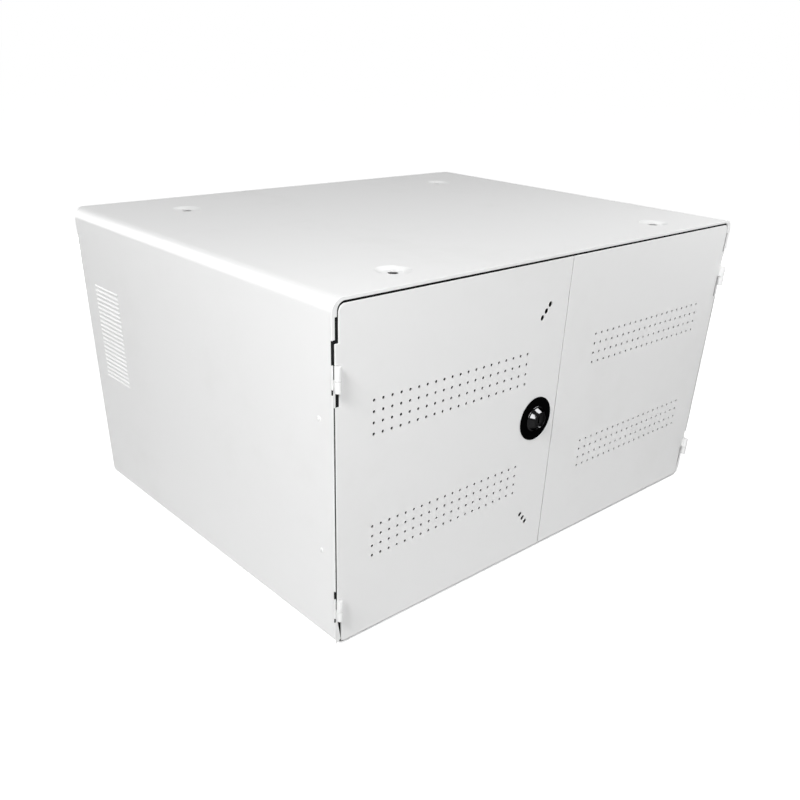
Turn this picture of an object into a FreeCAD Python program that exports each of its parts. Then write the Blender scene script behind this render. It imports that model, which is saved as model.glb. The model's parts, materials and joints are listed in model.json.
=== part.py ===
import FreeCAD, Part
import math
import os
import Sketcher

# Device charging cabinet: a powder-coated sheet-steel tube on four stacking feet, closed in front
# by two perforated lift-off doors. X runs to the right, Y to the back and Z up, in millimetres.
# The origin is on the floor, midway between the sides and between the lock's face and the back.

doc = FreeCAD.newDocument("charging_cabinet")

driving = {
    # Tube
    "width": 600,
    "depth": 474,
    "height": 336,
    "skin": 1.5,
    "bend": 12,
    "hem": 1.6,
    "hem_depth": 8,
    "hem_drop": 33,
    "hem_corner": 5.6,
    "tab_width": 3.4,
    "tab_top": 15,
    "foot_height": 8,
    # Doors
    "door_gap": 1.3,
    "door_upper_corner": 7,
    "split_gap": 1.6,
    "door_depth": 12,
    "door_skin": 1.2,
    "door_lip": 12,
    "door_fold": 6,
    # Ventilation holes in the doors
    "perf_radius": 1.35,
    "perf_pitch": 10.5,
    "perf_inner": 55,
    "perf_outer": 38,
    "perf_rise": 62.3,
    "perf_drop": 3.2,
    "mark_radius": 2.9,
    "mark_inset": 33.5,
    "mark_drop": 49.4,
    "mark_rise": 45.4,
    "mark_step_x": 5,
    "mark_step_z": 6,
    # Hinges
    "hinge_clearance": 0.5,
    "knuckle_radius": 3,
    "fixed_length": 10,
    "swing_length": 12.4,
    "knuckle_gap": 0.4,
    "pin_radius": 1.5,
    "running_fit": 0.06,
    "hinge_drop": 66,
    "hinge_rise": 42,
    "leaf_skin": 1.5,
    "leaf_length": 12,
    "weld_width": 2,
    "notch_depth": 4.6,
    "notch_drop": 24.2,
    "step_drop": 36.4,
    "slot_clearance": 1,
    "slot_above_upper": 33,
    "slot_above_lower": 22,
    "slot_foot": 4,
    "slot_depth": 1.7,
    # Front frame inside the tube
    "rail_gap": 2.3,
    "rail_skin": 1.5,
    "rail_drop": 18,
    "rail_depth": 20,
    "rail_weld": 7,
    "rail_end": 6,
    "stile_reach": 12,
    "stile_depth": 22,
    "rivet_back": 19,
    "rivet_drop": 105,
    "rivet_rise": 101,
    "rivet_radius": 1.6,
    "rivet_head_radius": 2.7,
    "rivet_head": 0.8,
    "bumper_radius": 6,
    "bumper_drop": 7,
    "bumper_spread": 150,
    "bumper_gap": 0.3,
    # Lock
    "lock_inset": 32,
    "rosette_radius": 23.7,
    "rosette_thickness": 1,
    "rosette_bevel": 0.4,
    "knob_radius": 14,
    "knob_flange": 0.6,
    "knob_waist_radius": 12.2,
    "knob_waist": 1.2,
    "knob_face_radius": 8.8,
    "knob_length": 7,
    "knob_dish": 1.4,
    "knob_rim": 0.7,
    "knob_slope": 1.4,
    "sleeve_radius": 9.5,
    "plug_radius": 5.5,
    "keyway_width": 1.8,
    "keyway_height": 7.5,
    "keyway_depth": 5,
    "seat_fit": 0.2,
    "nut_flat": 25,
    "nut_thickness": 5,
    "cam_gap": 1,
    "cam_thickness": 3,
    "cam_width": 16,
    "cam_reach": 46,
    "cam_corner": 4.8,
    "cam_square": 6,
    "cam_screw_radius": 2,
    "cam_screw_head_radius": 4.8,
    "cam_screw_head": 2.4,
    "cam_screw_depth": 6,
    # Slide bolts of the right door
    "bolt_inset": 24,
    "bolt_radius": 4,
    "bolt_back": 12,
    "bolt_travel": 14,
    "bolt_rest": 2,
    "peg_radius": 2.5,
    "peg_length": 14,
    "peg_play": 0.5,
    "lug_height": 5,
    "lug_wall": 4,
    "lug_drop": 4,
    "strike_clearance": 0.6,
    # Back
    "panel_inset": 6,
    "frame_width": 20,
    "corner_relief": 3,
    "screw_radius": 2,
    "screw_head_radius": 4,
    "screw_head": 2.4,
    "screw_grip": 3,
    # Louvres in the sides
    "vent_rear": 57.5,
    "vent_top": 81.9,
    "vent_length": 57,
    "vent_height": 1.1,
    "vent_corner": 0.5,
    "vent_pitch": 5.14,
    "vent_lip": 0.8,
    "vent_slope": 2,
    # Rear bay
    "wall_setback": 13.5,
    "wall_skin": 1.2,
    "wall_flange": 10,
    "grommet_radius": 16,
    "grommet_bore": 11,
    "grommet_rim": 3,
    "grommet_side": 98.5,
    "grommet_drop": 70,
    "strip_end": 68.5,
    "strip_depth": 44,
    "strip_height": 38,
    "strip_skin": 1.5,
    "strip_rise": 110,
    "outlet_size": 30,
    "outlet_depth": 14,
    "outlet_end": 41,
    "outlet_recess": 1.2,
    "outlet_pin_radius": 2.4,
    "outlet_pin_spread": 9.5,
    # Mains inlet and power switch
    "inlet_side": 95,
    "inlet_rise": 70,
    "inlet_flange_width": 50,
    "inlet_flange_height": 24,
    "inlet_flange": 2.5,
    "inlet_body_width": 27,
    "inlet_body_height": 20,
    "inlet_body_depth": 20,
    "inlet_wall": 1.6,
    "inlet_cavity": 15,
    "inlet_screw_spread": 20,
    "blade_width": 2,
    "blade_height": 4,
    "blade_length": 12,
    "blade_spread": 7,
    "blade_rise": 3.5,
    "switch_gap": 55,
    "switch_bezel_width": 15,
    "switch_bezel_height": 21,
    "switch_bezel": 2,
    "switch_body_width": 12.6,
    "switch_body_height": 18.6,
    "switch_body_depth": 14,
    "switch_wall": 1.4,
    "rocker_reach": 7,
    "rocker_waist": 4.9,
    "rocker_depth": 4.4,
    "rocker_play": 0.35,
    "rocker_swing": 0.75,
    "rocker_tip": 1.8,
    "rocker_dip": 0.7,
    "rocker_tilt": 10,
    "rocker_pin_radius": 1.2,
    # Stacking dishes and feet
    "stack_side": 101,
    "stack_rear": 75.5,
    "dish_setback": 5.8,
    "dish_radius": 16,
    "dish_floor_radius": 7,
    "dish_depth": 2.3,
    "stack_hole_radius": 4.8,
    "foot_radius": 19,
    "foot_tread_radius": 11,
    "foot_taper": 3.5,
    "foot_screw_radius": 3,
    "foot_screw_head_radius": 5.2,
    "foot_screw_head": 3,
    "foot_recess_radius": 7.5,
    "foot_web": 3,
    "foot_nut_flat": 10,
    "foot_nut": 5,
    "foot_screw_stand": 1.5,
    # Device rack
    "tray_clearance": 2,
    "tray_side": 7,
    "tray_rise": 14,
    "tray_skin": 1.5,
    "divider_headroom": 94,
    "divider_skin": 1.2,
    "divider_corner": 60,
    "divider_end": 10,
}
perf_rows = 4
vent_rows = 22
divider_count = 9
grommet_count = 3
outlet_count = 10

sheet = doc.addObject("Spreadsheet::Sheet", "dims")
for row, (alias, number) in enumerate(driving.items(), start=1):
    cell = "A%d" % row
    sheet.set(cell, str(number))
    sheet.setAlias(cell, alias)
doc.recompute()


class Size:
    # A size with its number and the sheet formula that gives it.
    def __init__(self, number, formula):
        self.number = number
        self.formula = formula

    def __add__(self, other):
        other = as_size(other)
        return Size(self.number + other.number, "(%s + %s)" % (self.formula, other.formula))

    def __sub__(self, other):
        other = as_size(other)
        return Size(self.number - other.number, "(%s - %s)" % (self.formula, other.formula))

    def __mul__(self, other):
        other = as_size(other)
        return Size(self.number * other.number, "(%s * %s)" % (self.formula, other.formula))

    def __truediv__(self, other):
        other = as_size(other)
        return Size(self.number / other.number, "(%s / %s)" % (self.formula, other.formula))

    def __neg__(self):
        return Size(-self.number, "(0 - %s)" % self.formula)

    __radd__ = __add__
    __rmul__ = __mul__


def as_size(thing):
    if isinstance(thing, Size):
        return thing
    return Size(float(thing), "(%r)" % float(thing))


def whole(size):
    return Size(math.floor(size.number), "floor(%s)" % size.formula)


def across(first, second, sign):
    # A pair of ends along X on one side of the middle, lower end first.
    return sorted((as_size(first) * sign, as_size(second) * sign), key=lambda size: size.number)


class Sizes:
    # The driving sizes, read from the sheet by name.
    def __getattr__(self, name):
        return Size(float(sheet.get(name)), "dims.%s" % name)


d = Sizes()

# Levels and places that several pieces share
side = d.width / 2
front = (d.knob_length - d.depth) / 2
rear = front + d.depth
base = d.foot_height
top = base + d.height
floor_inside = base + d.skin
roof_inside = top - d.skin
side_inside = side - d.skin
right_through = d.width + d.skin * 2
inner_bend = d.bend - d.skin
rim = d.skin + d.hem
middle_z = base + d.height / 2
door_bottom = floor_inside + d.door_gap
door_top = top - rim - d.door_gap
door_outer = side_inside - d.door_gap
door_upper_outer = side - d.hem_corner - d.door_gap
door_step = top - d.step_drop
door_inner = d.split_gap / 2
door_rear = front + d.door_depth
door_corner = inner_bend - d.door_gap
hinge_x = side - d.knuckle_radius
hinge_y = front - d.knuckle_radius - d.hinge_clearance
hinge_upper = top - d.hinge_drop
hinge_lower = base + d.hinge_rise
slot_start = d.knuckle_gap + d.swing_length + d.slot_clearance
rail_front = door_rear + d.rail_gap
rivet_y = front + d.rivet_back
rivet_levels = (base + d.rivet_rise, top - d.rivet_drop)
bolt_y = rail_front + d.bolt_back
panel_rear = rear - d.panel_inset
panel_front = panel_rear - d.skin
frame_front = panel_front - d.skin
stack_x = side - d.stack_side
stack_front = rail_front + d.rail_weld + d.dish_setback + d.dish_radius
stack_rear = rear - d.stack_rear
stack_places = [(stack_x * sign, y) for y in (stack_front, stack_rear) for sign in (-1, 1)]
wall_front = stack_rear - d.dish_radius - d.wall_setback - d.wall_flange
wall_rear = wall_front + d.wall_skin
tray_top = floor_inside + d.tray_rise
inlet_x = side - d.inlet_side
inlet_z = base + d.inlet_rise
switch_x = inlet_x - d.switch_gap
hinge_levels = {"upper": hinge_upper, "lower": hinge_lower}
door_sides = {"left": -1, "right": 1}
nodes = []


def bind(thing, path, size):
    thing.setExpression(path, as_size(size).formula)


def place(thing, x, y, z, axis=None, degrees=0):
    if axis is not None:
        thing.Placement = FreeCAD.Placement(FreeCAD.Vector(), FreeCAD.Rotation(axis, degrees))
    bind(thing, "Placement.Base.x", x)
    bind(thing, "Placement.Base.y", y)
    bind(thing, "Placement.Base.z", z)
    return thing


def node(thing, label):
    thing.Label = label
    nodes.append(thing)
    return thing


axis_x = FreeCAD.Vector(1, 0, 0)
axis_y = FreeCAD.Vector(0, 1, 0)


def box(x, y, z):
    # Each of x, y and z is a pair of ends.
    thing = doc.addObject("Part::Box", "box")
    for size_name, ends in (("Length", x), ("Width", y), ("Height", z)):
        bind(thing, size_name, as_size(ends[1]) - ends[0])
    return place(thing, x[0], y[0], z[0])


def cylinder(radius, height, x, y, z, along="z"):
    thing = doc.addObject("Part::Cylinder", "cylinder")
    bind(thing, "Radius", radius)
    bind(thing, "Height", height)
    if along == "y":
        return place(thing, x, y, z, axis_x, -90)
    if along == "x":
        return place(thing, x, y, z, axis_y, 90)
    return place(thing, x, y, z)


def hex_corner(flat):
    # From the middle of a hexagon to its corners.
    return as_size(flat) / 3 ** 0.5


def prism(flat, height, x, y, z):
    # A six-sided nut blank, measured across its flats.
    thing = doc.addObject("Part::Prism", "prism")
    thing.Polygon = 6
    bind(thing, "Circumradius", hex_corner(flat))
    bind(thing, "Height", height)
    return place(thing, x, y, z)


def cut(blank, tool):
    thing = doc.addObject("Part::Cut", "cut")
    thing.Base = blank
    thing.Tool = tool
    return thing


def fuse(*pieces):
    thing = doc.addObject("Part::MultiFuse", "fuse")
    thing.Shapes = list(pieces)
    thing.Refine = True
    return thing


def group(pieces):
    thing = doc.addObject("Part::Compound", "group")
    thing.Links = list(pieces)
    return thing


def new_body(label):
    return node(doc.addObject("PartDesign::Body", label), label)


def origin_feature(body, role):
    return [item for item in body.Origin.OriginFeatures if item.Role == role][0]


def new_sketch(body, plane="XZ", level=0):
    # The plane's sketch axes are its two letters, and level is its place along the third axis.
    sketch = body.newObject("Sketcher::SketchObject", "sketch")
    sketch.AttachmentSupport = [(origin_feature(body, plane + "_Plane"), "")]
    sketch.MapMode = "FlatFace"
    bind(sketch, "AttachmentOffset.Base.z", -as_size(level) if plane == "XZ" else level)
    return sketch


def pin_point(sketch, curve, end, x, y):
    for kind, size in (("DistanceX", as_size(x)), ("DistanceY", as_size(y))):
        number = sketch.addConstraint(Sketcher.Constraint(kind, -1, 1, curve, end, size.number))
        bind(sketch, "Constraints[%d]" % number, size)


def add_circle(sketch, x, y, radius):
    x, y, radius = as_size(x), as_size(y), as_size(radius)
    centre = FreeCAD.Vector(x.number, y.number, 0)
    curve = sketch.addGeometry(Part.Circle(centre, FreeCAD.Vector(0, 0, 1), radius.number))
    pin_point(sketch, curve, 3, x, y)
    number = sketch.addConstraint(Sketcher.Constraint("Radius", curve, radius.number))
    bind(sketch, "Constraints[%d]" % number, radius)


def heading(start, end):
    # The way along X and Y, each -1, 0 or 1, from one corner to the next.
    steps = [as_size(end[k]).number - as_size(start[k]).number for k in (0, 1)]
    return [(step > 1e-6) - (step < -1e-6) for step in steps]


def add_arc(sketch, corner, way_in, way_out):
    # A quarter turn that rounds a corner between two sides along the axes.
    x, y, radius = [as_size(item).number for item in corner]
    centre = FreeCAD.Vector(x + (way_out[0] - way_in[0]) * radius, y + (way_out[1] - way_in[1]) * radius, 0)
    circle = Part.Circle(centre, FreeCAD.Vector(0, 0, 1), radius)
    start = FreeCAD.Vector(x - way_in[0] * radius, y - way_in[1] * radius, 0)
    end = FreeCAD.Vector(x + way_out[0] * radius, y + way_out[1] * radius, 0)
    arc = Part.ArcOfCircle(circle, circle.parameter(start), circle.parameter(end))
    curve = sketch.addGeometry(arc)
    number = sketch.addConstraint(Sketcher.Constraint("Radius", curve, radius))
    bind(sketch, "Constraints[%d]" % number, corner[2])
    return curve


def add_outline(sketch, corners):
    # A closed outline through corners (x, y) or (x, y, radius), anticlockwise.
    count = len(corners)
    leaving, arriving = [], []
    for k, corner in enumerate(corners):
        radius = corner[2] if len(corner) == 3 else 0
        way_in = heading(corners[k - 1], corner)
        way_out = heading(corner, corners[(k + 1) % count])
        arriving.append([as_size(corner[j]) - as_size(radius) * way_in[j] for j in (0, 1)])
        leaving.append([as_size(corner[j]) + as_size(radius) * way_out[j] for j in (0, 1)])
    lines = []
    for k in range(count):
        ends = [FreeCAD.Vector(p[0].number, p[1].number, 0) for p in (leaving[k], arriving[(k + 1) % count])]
        lines.append(sketch.addGeometry(Part.LineSegment(*ends)))
        pin_point(sketch, lines[k], 1, *leaving[k])
    for k, corner in enumerate(corners):
        before, after = lines[k - 1], lines[k]
        if len(corner) < 3:
            sketch.addConstraint(Sketcher.Constraint("Coincident", before, 2, after, 1))
            continue
        pin_point(sketch, before, 2, *arriving[k])
        curve = add_arc(sketch, corner, heading(corners[k - 1], corner), heading(corner, corners[(k + 1) % count]))
        sketch.addConstraint(Sketcher.Constraint("Coincident", before, 2, curve, 1))
        sketch.addConstraint(Sketcher.Constraint("Coincident", curve, 2, after, 1))


def rectangle(x, y, radius=None):
    # Corners of a rectangle between two pairs of ends, all sharp or all with one radius.
    corners = [(x[0], y[0]), (x[1], y[0]), (x[1], y[1]), (x[0], y[1])]
    if radius is None:
        return corners
    return [corner + (radius,) for corner in corners]


def extrude(body, kind, sketch, length, reverse=False, symmetric=False):
    feature = body.newObject("PartDesign::" + kind, kind.lower())
    feature.Profile = sketch
    feature.Reversed = reverse
    if symmetric:
        feature.SideType = "Symmetric"
    bind(feature, "Length", length)
    return feature


def pad(body, sketch, length, reverse=False, symmetric=False):
    return extrude(body, "Pad", sketch, length, reverse, symmetric)


def pocket(body, sketch, length, reverse=False, symmetric=False):
    return extrude(body, "Pocket", sketch, length, reverse, symmetric)


def revolve(body, corners, x=0, y=0):
    # A turned form about the vertical line through x and y, from a profile of (radius, height).
    sketch = new_sketch(body, "XZ", y)
    bind(sketch, "AttachmentOffset.Base.x", x)
    add_outline(sketch, corners)
    feature = body.newObject("PartDesign::Revolution", "revolution")
    feature.Profile = sketch
    feature.ReferenceAxis = (sketch, ["V_Axis"])
    feature.Angle = 360
    return feature


# The entry in a pattern's list of spacings that leaves a step at the common spacing
even_spacing = -1.0


def pattern(body, feature, first, second=None):
    # Copies along one or two origin axes, each given as (axis letter, spacing, count).
    copies = body.newObject("PartDesign::LinearPattern", "pattern")
    copies.Originals = [feature]
    for suffix, steps in (("", first), ("2", second)):
        if steps is None:
            continue
        letter, spacing, count = steps
        setattr(copies, "Direction" + suffix, (origin_feature(body, letter + "_Axis"), [""]))
        setattr(copies, "Mode" + suffix, "Spacing")
        setattr(copies, "Spacings" + suffix, [even_spacing])
        bind(copies, "Offset" + suffix, spacing)
        bind(copies, "Occurrences" + suffix, count)
    body.Tip = copies
    return copies


def tube_outline(inset=0, relief=0):
    # The tube's section, drawn in from its outside.
    inset = as_size(inset)
    ends_x = (inset - side, side - inset)
    ends_z = (base + inset, top - inset)
    return rectangle(ends_x, ends_z, d.bend - inset + relief)


def outer_shell():
    body = new_body("outer_shell")
    section = new_sketch(body, "XZ", front)
    add_outline(section, tube_outline())
    add_outline(section, tube_outline(d.skin))
    pad(body, section, d.depth, reverse=True)
    hem_end = top - d.hem_drop
    hem = new_sketch(body, "XZ", front)
    add_outline(hem, [(-side_inside, hem_end), (side_inside, hem_end),
                      (side_inside, roof_inside, inner_bend), (-side_inside, roof_inside, inner_bend)])
    pad(body, hem, d.hem_depth, reverse=True)
    mouth = new_sketch(body, "XZ", front)
    tab_x = side - d.tab_width
    tab_z = top - d.tab_top
    corner_x = side - d.hem_corner
    corner_radius = d.door_upper_corner + d.door_gap
    add_outline(mouth, [(-tab_x, hem_end - d.door_gap), (tab_x, hem_end - d.door_gap), (tab_x, tab_z),
                        (corner_x, tab_z), (corner_x, top - rim, corner_radius),
                        (-corner_x, top - rim, corner_radius), (-corner_x, tab_z), (-tab_x, tab_z)])
    pocket(body, mouth, d.hem_depth)

    openings = new_sketch(body, "XY", top)
    for x, y in stack_places:
        add_circle(openings, x, y, d.dish_radius)
    pocket(body, openings, d.skin)
    low = top - d.dish_depth
    dish = revolve(body, [
        (d.stack_hole_radius, low - d.skin),
        (d.dish_floor_radius, low - d.skin),
        (d.dish_radius, roof_inside),
        (d.dish_radius, top),
        (d.dish_floor_radius, low),
        (d.stack_hole_radius, low),
    ], -stack_x, stack_front)
    pattern(body, dish, ("X", stack_x * 2, 2), ("Y", stack_rear - stack_front, 2))

    foot_holes = new_sketch(body, "XY", floor_inside)
    for x, y in stack_places:
        add_circle(foot_holes, x, y, d.foot_screw_radius + d.seat_fit)
    pocket(body, foot_holes, d.skin)

    vent = new_sketch(body, "YZ")
    vent_y = rear - d.vent_rear
    vent_z = top - d.vent_top - d.vent_pitch * (vent_rows - 1)
    add_outline(vent, rectangle((vent_y - d.vent_length / 2, vent_y + d.vent_length / 2),
                                (vent_z - d.vent_height, vent_z), d.vent_corner))
    slots = pocket(body, vent, right_through, symmetric=True)
    pattern(body, slots, ("Z", d.vent_pitch, vent_rows))
    lip = new_sketch(body, "XZ", vent_y - d.vent_length / 2)
    inside = side - d.skin / 2
    slope = [(inside, vent_z), (side + d.vent_lip, vent_z), (side, vent_z + d.vent_slope),
             (inside, vent_z + d.vent_slope)]
    add_outline(lip, slope)
    add_outline(lip, [(-x, z) for x, z in slope][::-1])
    lips = pad(body, lip, d.vent_length, reverse=True)
    pattern(body, lips, ("Z", d.vent_pitch, vent_rows))

    rivet_holes = new_sketch(body, "YZ")
    for level in rivet_levels:
        add_circle(rivet_holes, rivet_y, level, d.rivet_radius + d.running_fit)
    pocket(body, rivet_holes, right_through, symmetric=True)

    slots = new_sketch(body, "XZ", front)
    for sign in door_sides.values():
        edge_x = across(side + d.skin, side_inside - d.skin, sign)
        for level, above in ((hinge_upper, d.slot_above_upper), (hinge_lower, d.slot_above_lower)):
            add_outline(slots, rectangle(edge_x, (level + slot_start, level + above)))
            low = level - d.fixed_length
            add_outline(slots, rectangle(edge_x, (low - d.slot_foot, low)))
    pocket(body, slots, d.slot_depth)


def stop_rail(label, level, direction):
    # A channel behind the doors' upper or lower edges, turned over at the bottom of the tube.
    body = new_body(label)
    section = new_sketch(body, "YZ")
    web = rail_front + d.rail_skin
    back = rail_front + d.rail_depth
    weld = rail_front + d.rail_weld
    add_outline(section, [
        (rail_front, -d.rail_drop),
        (back, -d.rail_drop),
        (back, d.rail_skin - d.rail_drop),
        (web, d.rail_skin - d.rail_drop),
        (web, -d.rail_skin),
        (weld, -d.rail_skin),
        (weld, 0),
        (rail_front, 0),
    ])
    pad(body, section, (side - d.bend - d.rail_end) * 2, symmetric=True)
    strike = new_sketch(body, "XY", d.rail_skin - d.rail_drop)
    add_circle(strike, d.bolt_inset * direction, bolt_y, d.bolt_radius + d.strike_clearance)
    pocket(body, strike, d.rail_skin)
    place(body, 0, 0, level, axis_y, 0 if direction > 0 else 180)


def door_bumpers():
    reach = d.rail_gap - d.bumper_gap
    discs = []
    for level in (roof_inside - d.bumper_drop, floor_inside + d.bumper_drop):
        for sign in (-1, 1):
            discs.append(cylinder(d.bumper_radius, reach, d.bumper_spread * sign, rail_front - reach, level, "y"))
    node(group(discs), "door_bumpers")


def front_stile(name, sign):
    # An angle that stiffens the hinge side of the tube behind a door.
    body = new_body(name + "_front_stile")
    ends_z = (base + d.bend, top - d.bend)
    angle = new_sketch(body, "XY", ends_z[0])
    wall = side_inside - d.rail_skin
    lip = side_inside - d.stile_reach
    corners = [
        (wall, rail_front + d.rail_skin),
        (lip, rail_front + d.rail_skin),
        (lip, rail_front),
        (side_inside, rail_front),
        (side_inside, rail_front + d.stile_depth),
        (wall, rail_front + d.stile_depth),
    ]
    add_outline(angle, [(x * sign, y) for x, y in corners][::sign])
    pad(body, angle, ends_z[1] - ends_z[0])
    holes = new_sketch(body, "YZ", wall * sign)
    for level in rivet_levels:
        add_circle(holes, rivet_y, level, d.rivet_radius + d.running_fit)
    pocket(body, holes, d.rail_skin, reverse=sign > 0)


def stile_rivets():
    rivets = []
    inside = side_inside - d.rail_skin - d.rivet_head
    for sign in (-1, 1):
        for level in rivet_levels:
            head_x = side if sign > 0 else -side - d.rivet_head
            tail_x = inside if sign > 0 else -inside - d.rivet_head
            stem_x = inside if sign > 0 else -side - d.rivet_head
            stem = cylinder(d.rivet_radius, side - inside + d.rivet_head, stem_x, rivet_y, level, "x")
            heads = [cylinder(d.rivet_head_radius, d.rivet_head, x, rivet_y, level, "x") for x in (head_x, tail_x)]
            rivets.append(fuse(stem, *heads))
    node(group(rivets), "stile_rivets")


def fixed_knuckle(name, sign, place_name, level):
    # The lower half of a lift-off hinge, with a leaf welded inside the tube.
    body = new_body("%s_%s_fixed_knuckle" % (name, place_name))
    sketch = new_sketch(body, "XY", level - d.fixed_length)
    add_circle(sketch, hinge_x * sign, hinge_y, d.knuckle_radius)
    pad(body, sketch, d.fixed_length)
    leaf = new_sketch(body, "XY", level - d.fixed_length)
    ends_x = across(side_inside, side_inside - d.leaf_skin, sign)
    add_outline(leaf, rectangle(ends_x, (hinge_y, front + d.leaf_length)))
    pad(body, leaf, d.fixed_length)
    bore_knuckle(body, sign, level, d.fixed_length)


def door_knuckle(name, sign, place_name, level):
    # The upper half of a lift-off hinge, welded to the door's face.
    body = new_body("%s_door_%s_knuckle" % (name, place_name))
    start = level + d.knuckle_gap
    sketch = new_sketch(body, "XY", start)
    add_circle(sketch, hinge_x * sign, hinge_y, d.knuckle_radius)
    pad(body, sketch, d.swing_length)
    weld = new_sketch(body, "XY", start)
    outer = door_outer - d.seat_fit
    ends_x = across(outer, outer - d.weld_width, sign)
    add_outline(weld, rectangle(ends_x, (hinge_y, front)))
    pad(body, weld, d.swing_length)
    bore_knuckle(body, sign, start + d.swing_length, d.swing_length)


def bore_knuckle(body, sign, upper_end, length):
    bore = new_sketch(body, "XY", upper_end)
    add_circle(bore, hinge_x * sign, hinge_y, d.pin_radius + d.running_fit)
    pocket(body, bore, length)


def hinge_pins(name, sign):
    length = d.fixed_length + d.swing_length + d.knuckle_gap
    pins = [cylinder(d.pin_radius, length, hinge_x * sign, hinge_y, level - d.fixed_length)
            for level in hinge_levels.values()]
    node(group(pins), name + "_hinge_pins")


def door_panel(name, sign):
    # A flat sheet with a stiffening fold set in from its outer edges and a return lip along the middle.
    body = new_body(name + "_door_panel")

    def face_outline():
        corners = [(door_inner, door_bottom), (door_outer, door_bottom, door_corner), (door_outer, door_step),
                   (door_upper_outer, door_step), (door_upper_outer, door_top, d.door_upper_corner),
                   (door_inner, door_top)]
        return [(corner[0] * sign,) + corner[1:] for corner in corners][::sign]

    def pan_outline(inner, outer):
        ends_x = across(door_inner + inner, door_outer - outer, sign)
        corners = rectangle(ends_x, (door_bottom + outer, door_top - outer))
        rounded = (0, 3) if sign < 0 else (1, 2)
        return [corner + (door_corner - inner,) if k in rounded else corner for k, corner in enumerate(corners)]

    face = new_sketch(body, "XZ", front)
    add_outline(face, face_outline())
    pad(body, face, d.door_skin, reverse=True)
    fold = new_sketch(body, "XZ", front)
    add_outline(fold, pan_outline(0, d.door_fold))
    add_outline(fold, pan_outline(d.door_skin, d.door_fold + d.door_skin))
    pad(body, fold, d.door_depth, reverse=True)

    lip = new_sketch(body, "XZ", door_rear)
    lip_inset = d.door_fold + d.door_skin
    lip_z = (door_bottom + lip_inset, door_top - lip_inset)
    add_outline(lip, rectangle(across(door_inner, door_inner + d.door_lip, sign), lip_z))
    pad(body, lip, d.door_skin)

    notches = new_sketch(body, "XZ", front)
    notch_x = across(door_outer - d.notch_depth, side, sign)
    for level, end in ((hinge_upper, hinge_upper - d.notch_drop), (hinge_lower, base)):
        add_outline(notches, rectangle(notch_x, (end, level + d.knuckle_gap / 2)))
    pocket(body, notches, d.door_skin)

    room = door_outer - door_inner - d.perf_inner - d.perf_outer
    columns = whole(room / d.perf_pitch) + 1
    nearest = door_inner + d.perf_inner
    perf_x = across(nearest, nearest + d.perf_pitch * (columns - 1), sign)[0]
    for rise in (d.perf_rise, -d.perf_rise):
        perf_z = middle_z - d.perf_drop + rise - d.perf_pitch * (perf_rows - 1) / 2
        hole = new_sketch(body, "XZ", front)
        add_circle(hole, perf_x, perf_z, d.perf_radius)
        first = pocket(body, hole, d.door_skin)
        pattern(body, first, ("X", d.perf_pitch, columns), ("Z", d.perf_pitch, perf_rows))

    if name == "left":
        holes = new_sketch(body, "XZ", front)
        add_circle(holes, -d.lock_inset, middle_z, d.sleeve_radius + d.seat_fit)
        for middle_mark, way in ((door_top - d.mark_drop, 1), (door_bottom + d.mark_rise, -1)):
            for step in (-1, 0, 1):
                mark_x = d.mark_step_x * step - d.mark_inset
                add_circle(holes, mark_x, middle_mark + d.mark_step_z * (step * way), d.mark_radius)
        pocket(body, holes, d.door_skin)


def to_lock(body):
    # The lock's pieces are drawn with height forward from the door's face.
    place(body, -d.lock_inset, front, middle_z, axis_x, 90)


sleeve_end = d.cam_gap + d.door_depth - d.bumper_gap
cam_front = d.cam_gap + d.door_depth


def lock_rosette():
    body = new_body("lock_rosette")
    bevel = d.rosette_bevel
    revolve(body, [
        (d.sleeve_radius + d.seat_fit, 0),
        (d.rosette_radius, 0),
        (d.rosette_radius, d.rosette_thickness - bevel),
        (d.rosette_radius - bevel, d.rosette_thickness),
        (d.sleeve_radius + d.seat_fit, d.rosette_thickness),
    ])
    to_lock(body)


def lock_barrel():
    # A low cone with a flange on the rosette and a dished face, and a threaded sleeve behind it through the door.
    body = new_body("lock_barrel")
    bore = d.plug_radius + d.running_fit
    floor = d.knob_length - d.knob_dish
    seat = d.rosette_thickness
    revolve(body, [
        (bore, -sleeve_end),
        (d.sleeve_radius, -sleeve_end),
        (d.sleeve_radius, seat),
        (d.knob_radius, seat),
        (d.knob_radius, seat + d.knob_flange),
        (d.knob_waist_radius, seat + d.knob_waist),
        (d.knob_face_radius, d.knob_length),
        (d.knob_face_radius - d.knob_rim, d.knob_length),
        (d.knob_face_radius - d.knob_rim - d.knob_slope, floor),
        (bore, floor),
    ])
    to_lock(body)


def lock_nut():
    blank = prism(d.nut_flat, d.nut_thickness, 0, 0, -d.door_skin - d.nut_thickness)
    thread = cylinder(d.sleeve_radius + d.running_fit, d.nut_thickness, 0, 0, -d.door_skin - d.nut_thickness)
    to_lock(node(cut(blank, thread), "lock_nut"))


def lock_plug():
    body = new_body("lock_plug")
    face = d.knob_length - d.knob_dish - d.seat_fit
    revolve(body, [
        (0, -cam_front),
        (d.plug_radius, -cam_front),
        (d.plug_radius, face),
        (0, face),
    ])
    half = d.cam_square / 2 - d.running_fit
    square = new_sketch(body, "XY", -cam_front)
    add_outline(square, rectangle((-half, half), (-half, half)))
    pad(body, square, d.cam_thickness, reverse=True)
    keyway = new_sketch(body, "XY", face)
    add_outline(keyway, rectangle((-d.keyway_width / 2, d.keyway_width / 2),
                                  (-d.keyway_height / 2, d.keyway_height / 2)))
    pocket(body, keyway, d.keyway_depth)
    thread = new_sketch(body, "XY", -cam_front - d.cam_thickness)
    add_circle(thread, 0, 0, d.cam_screw_radius + d.running_fit)
    pocket(body, thread, d.cam_screw_depth, reverse=True)
    to_lock(body)


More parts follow.
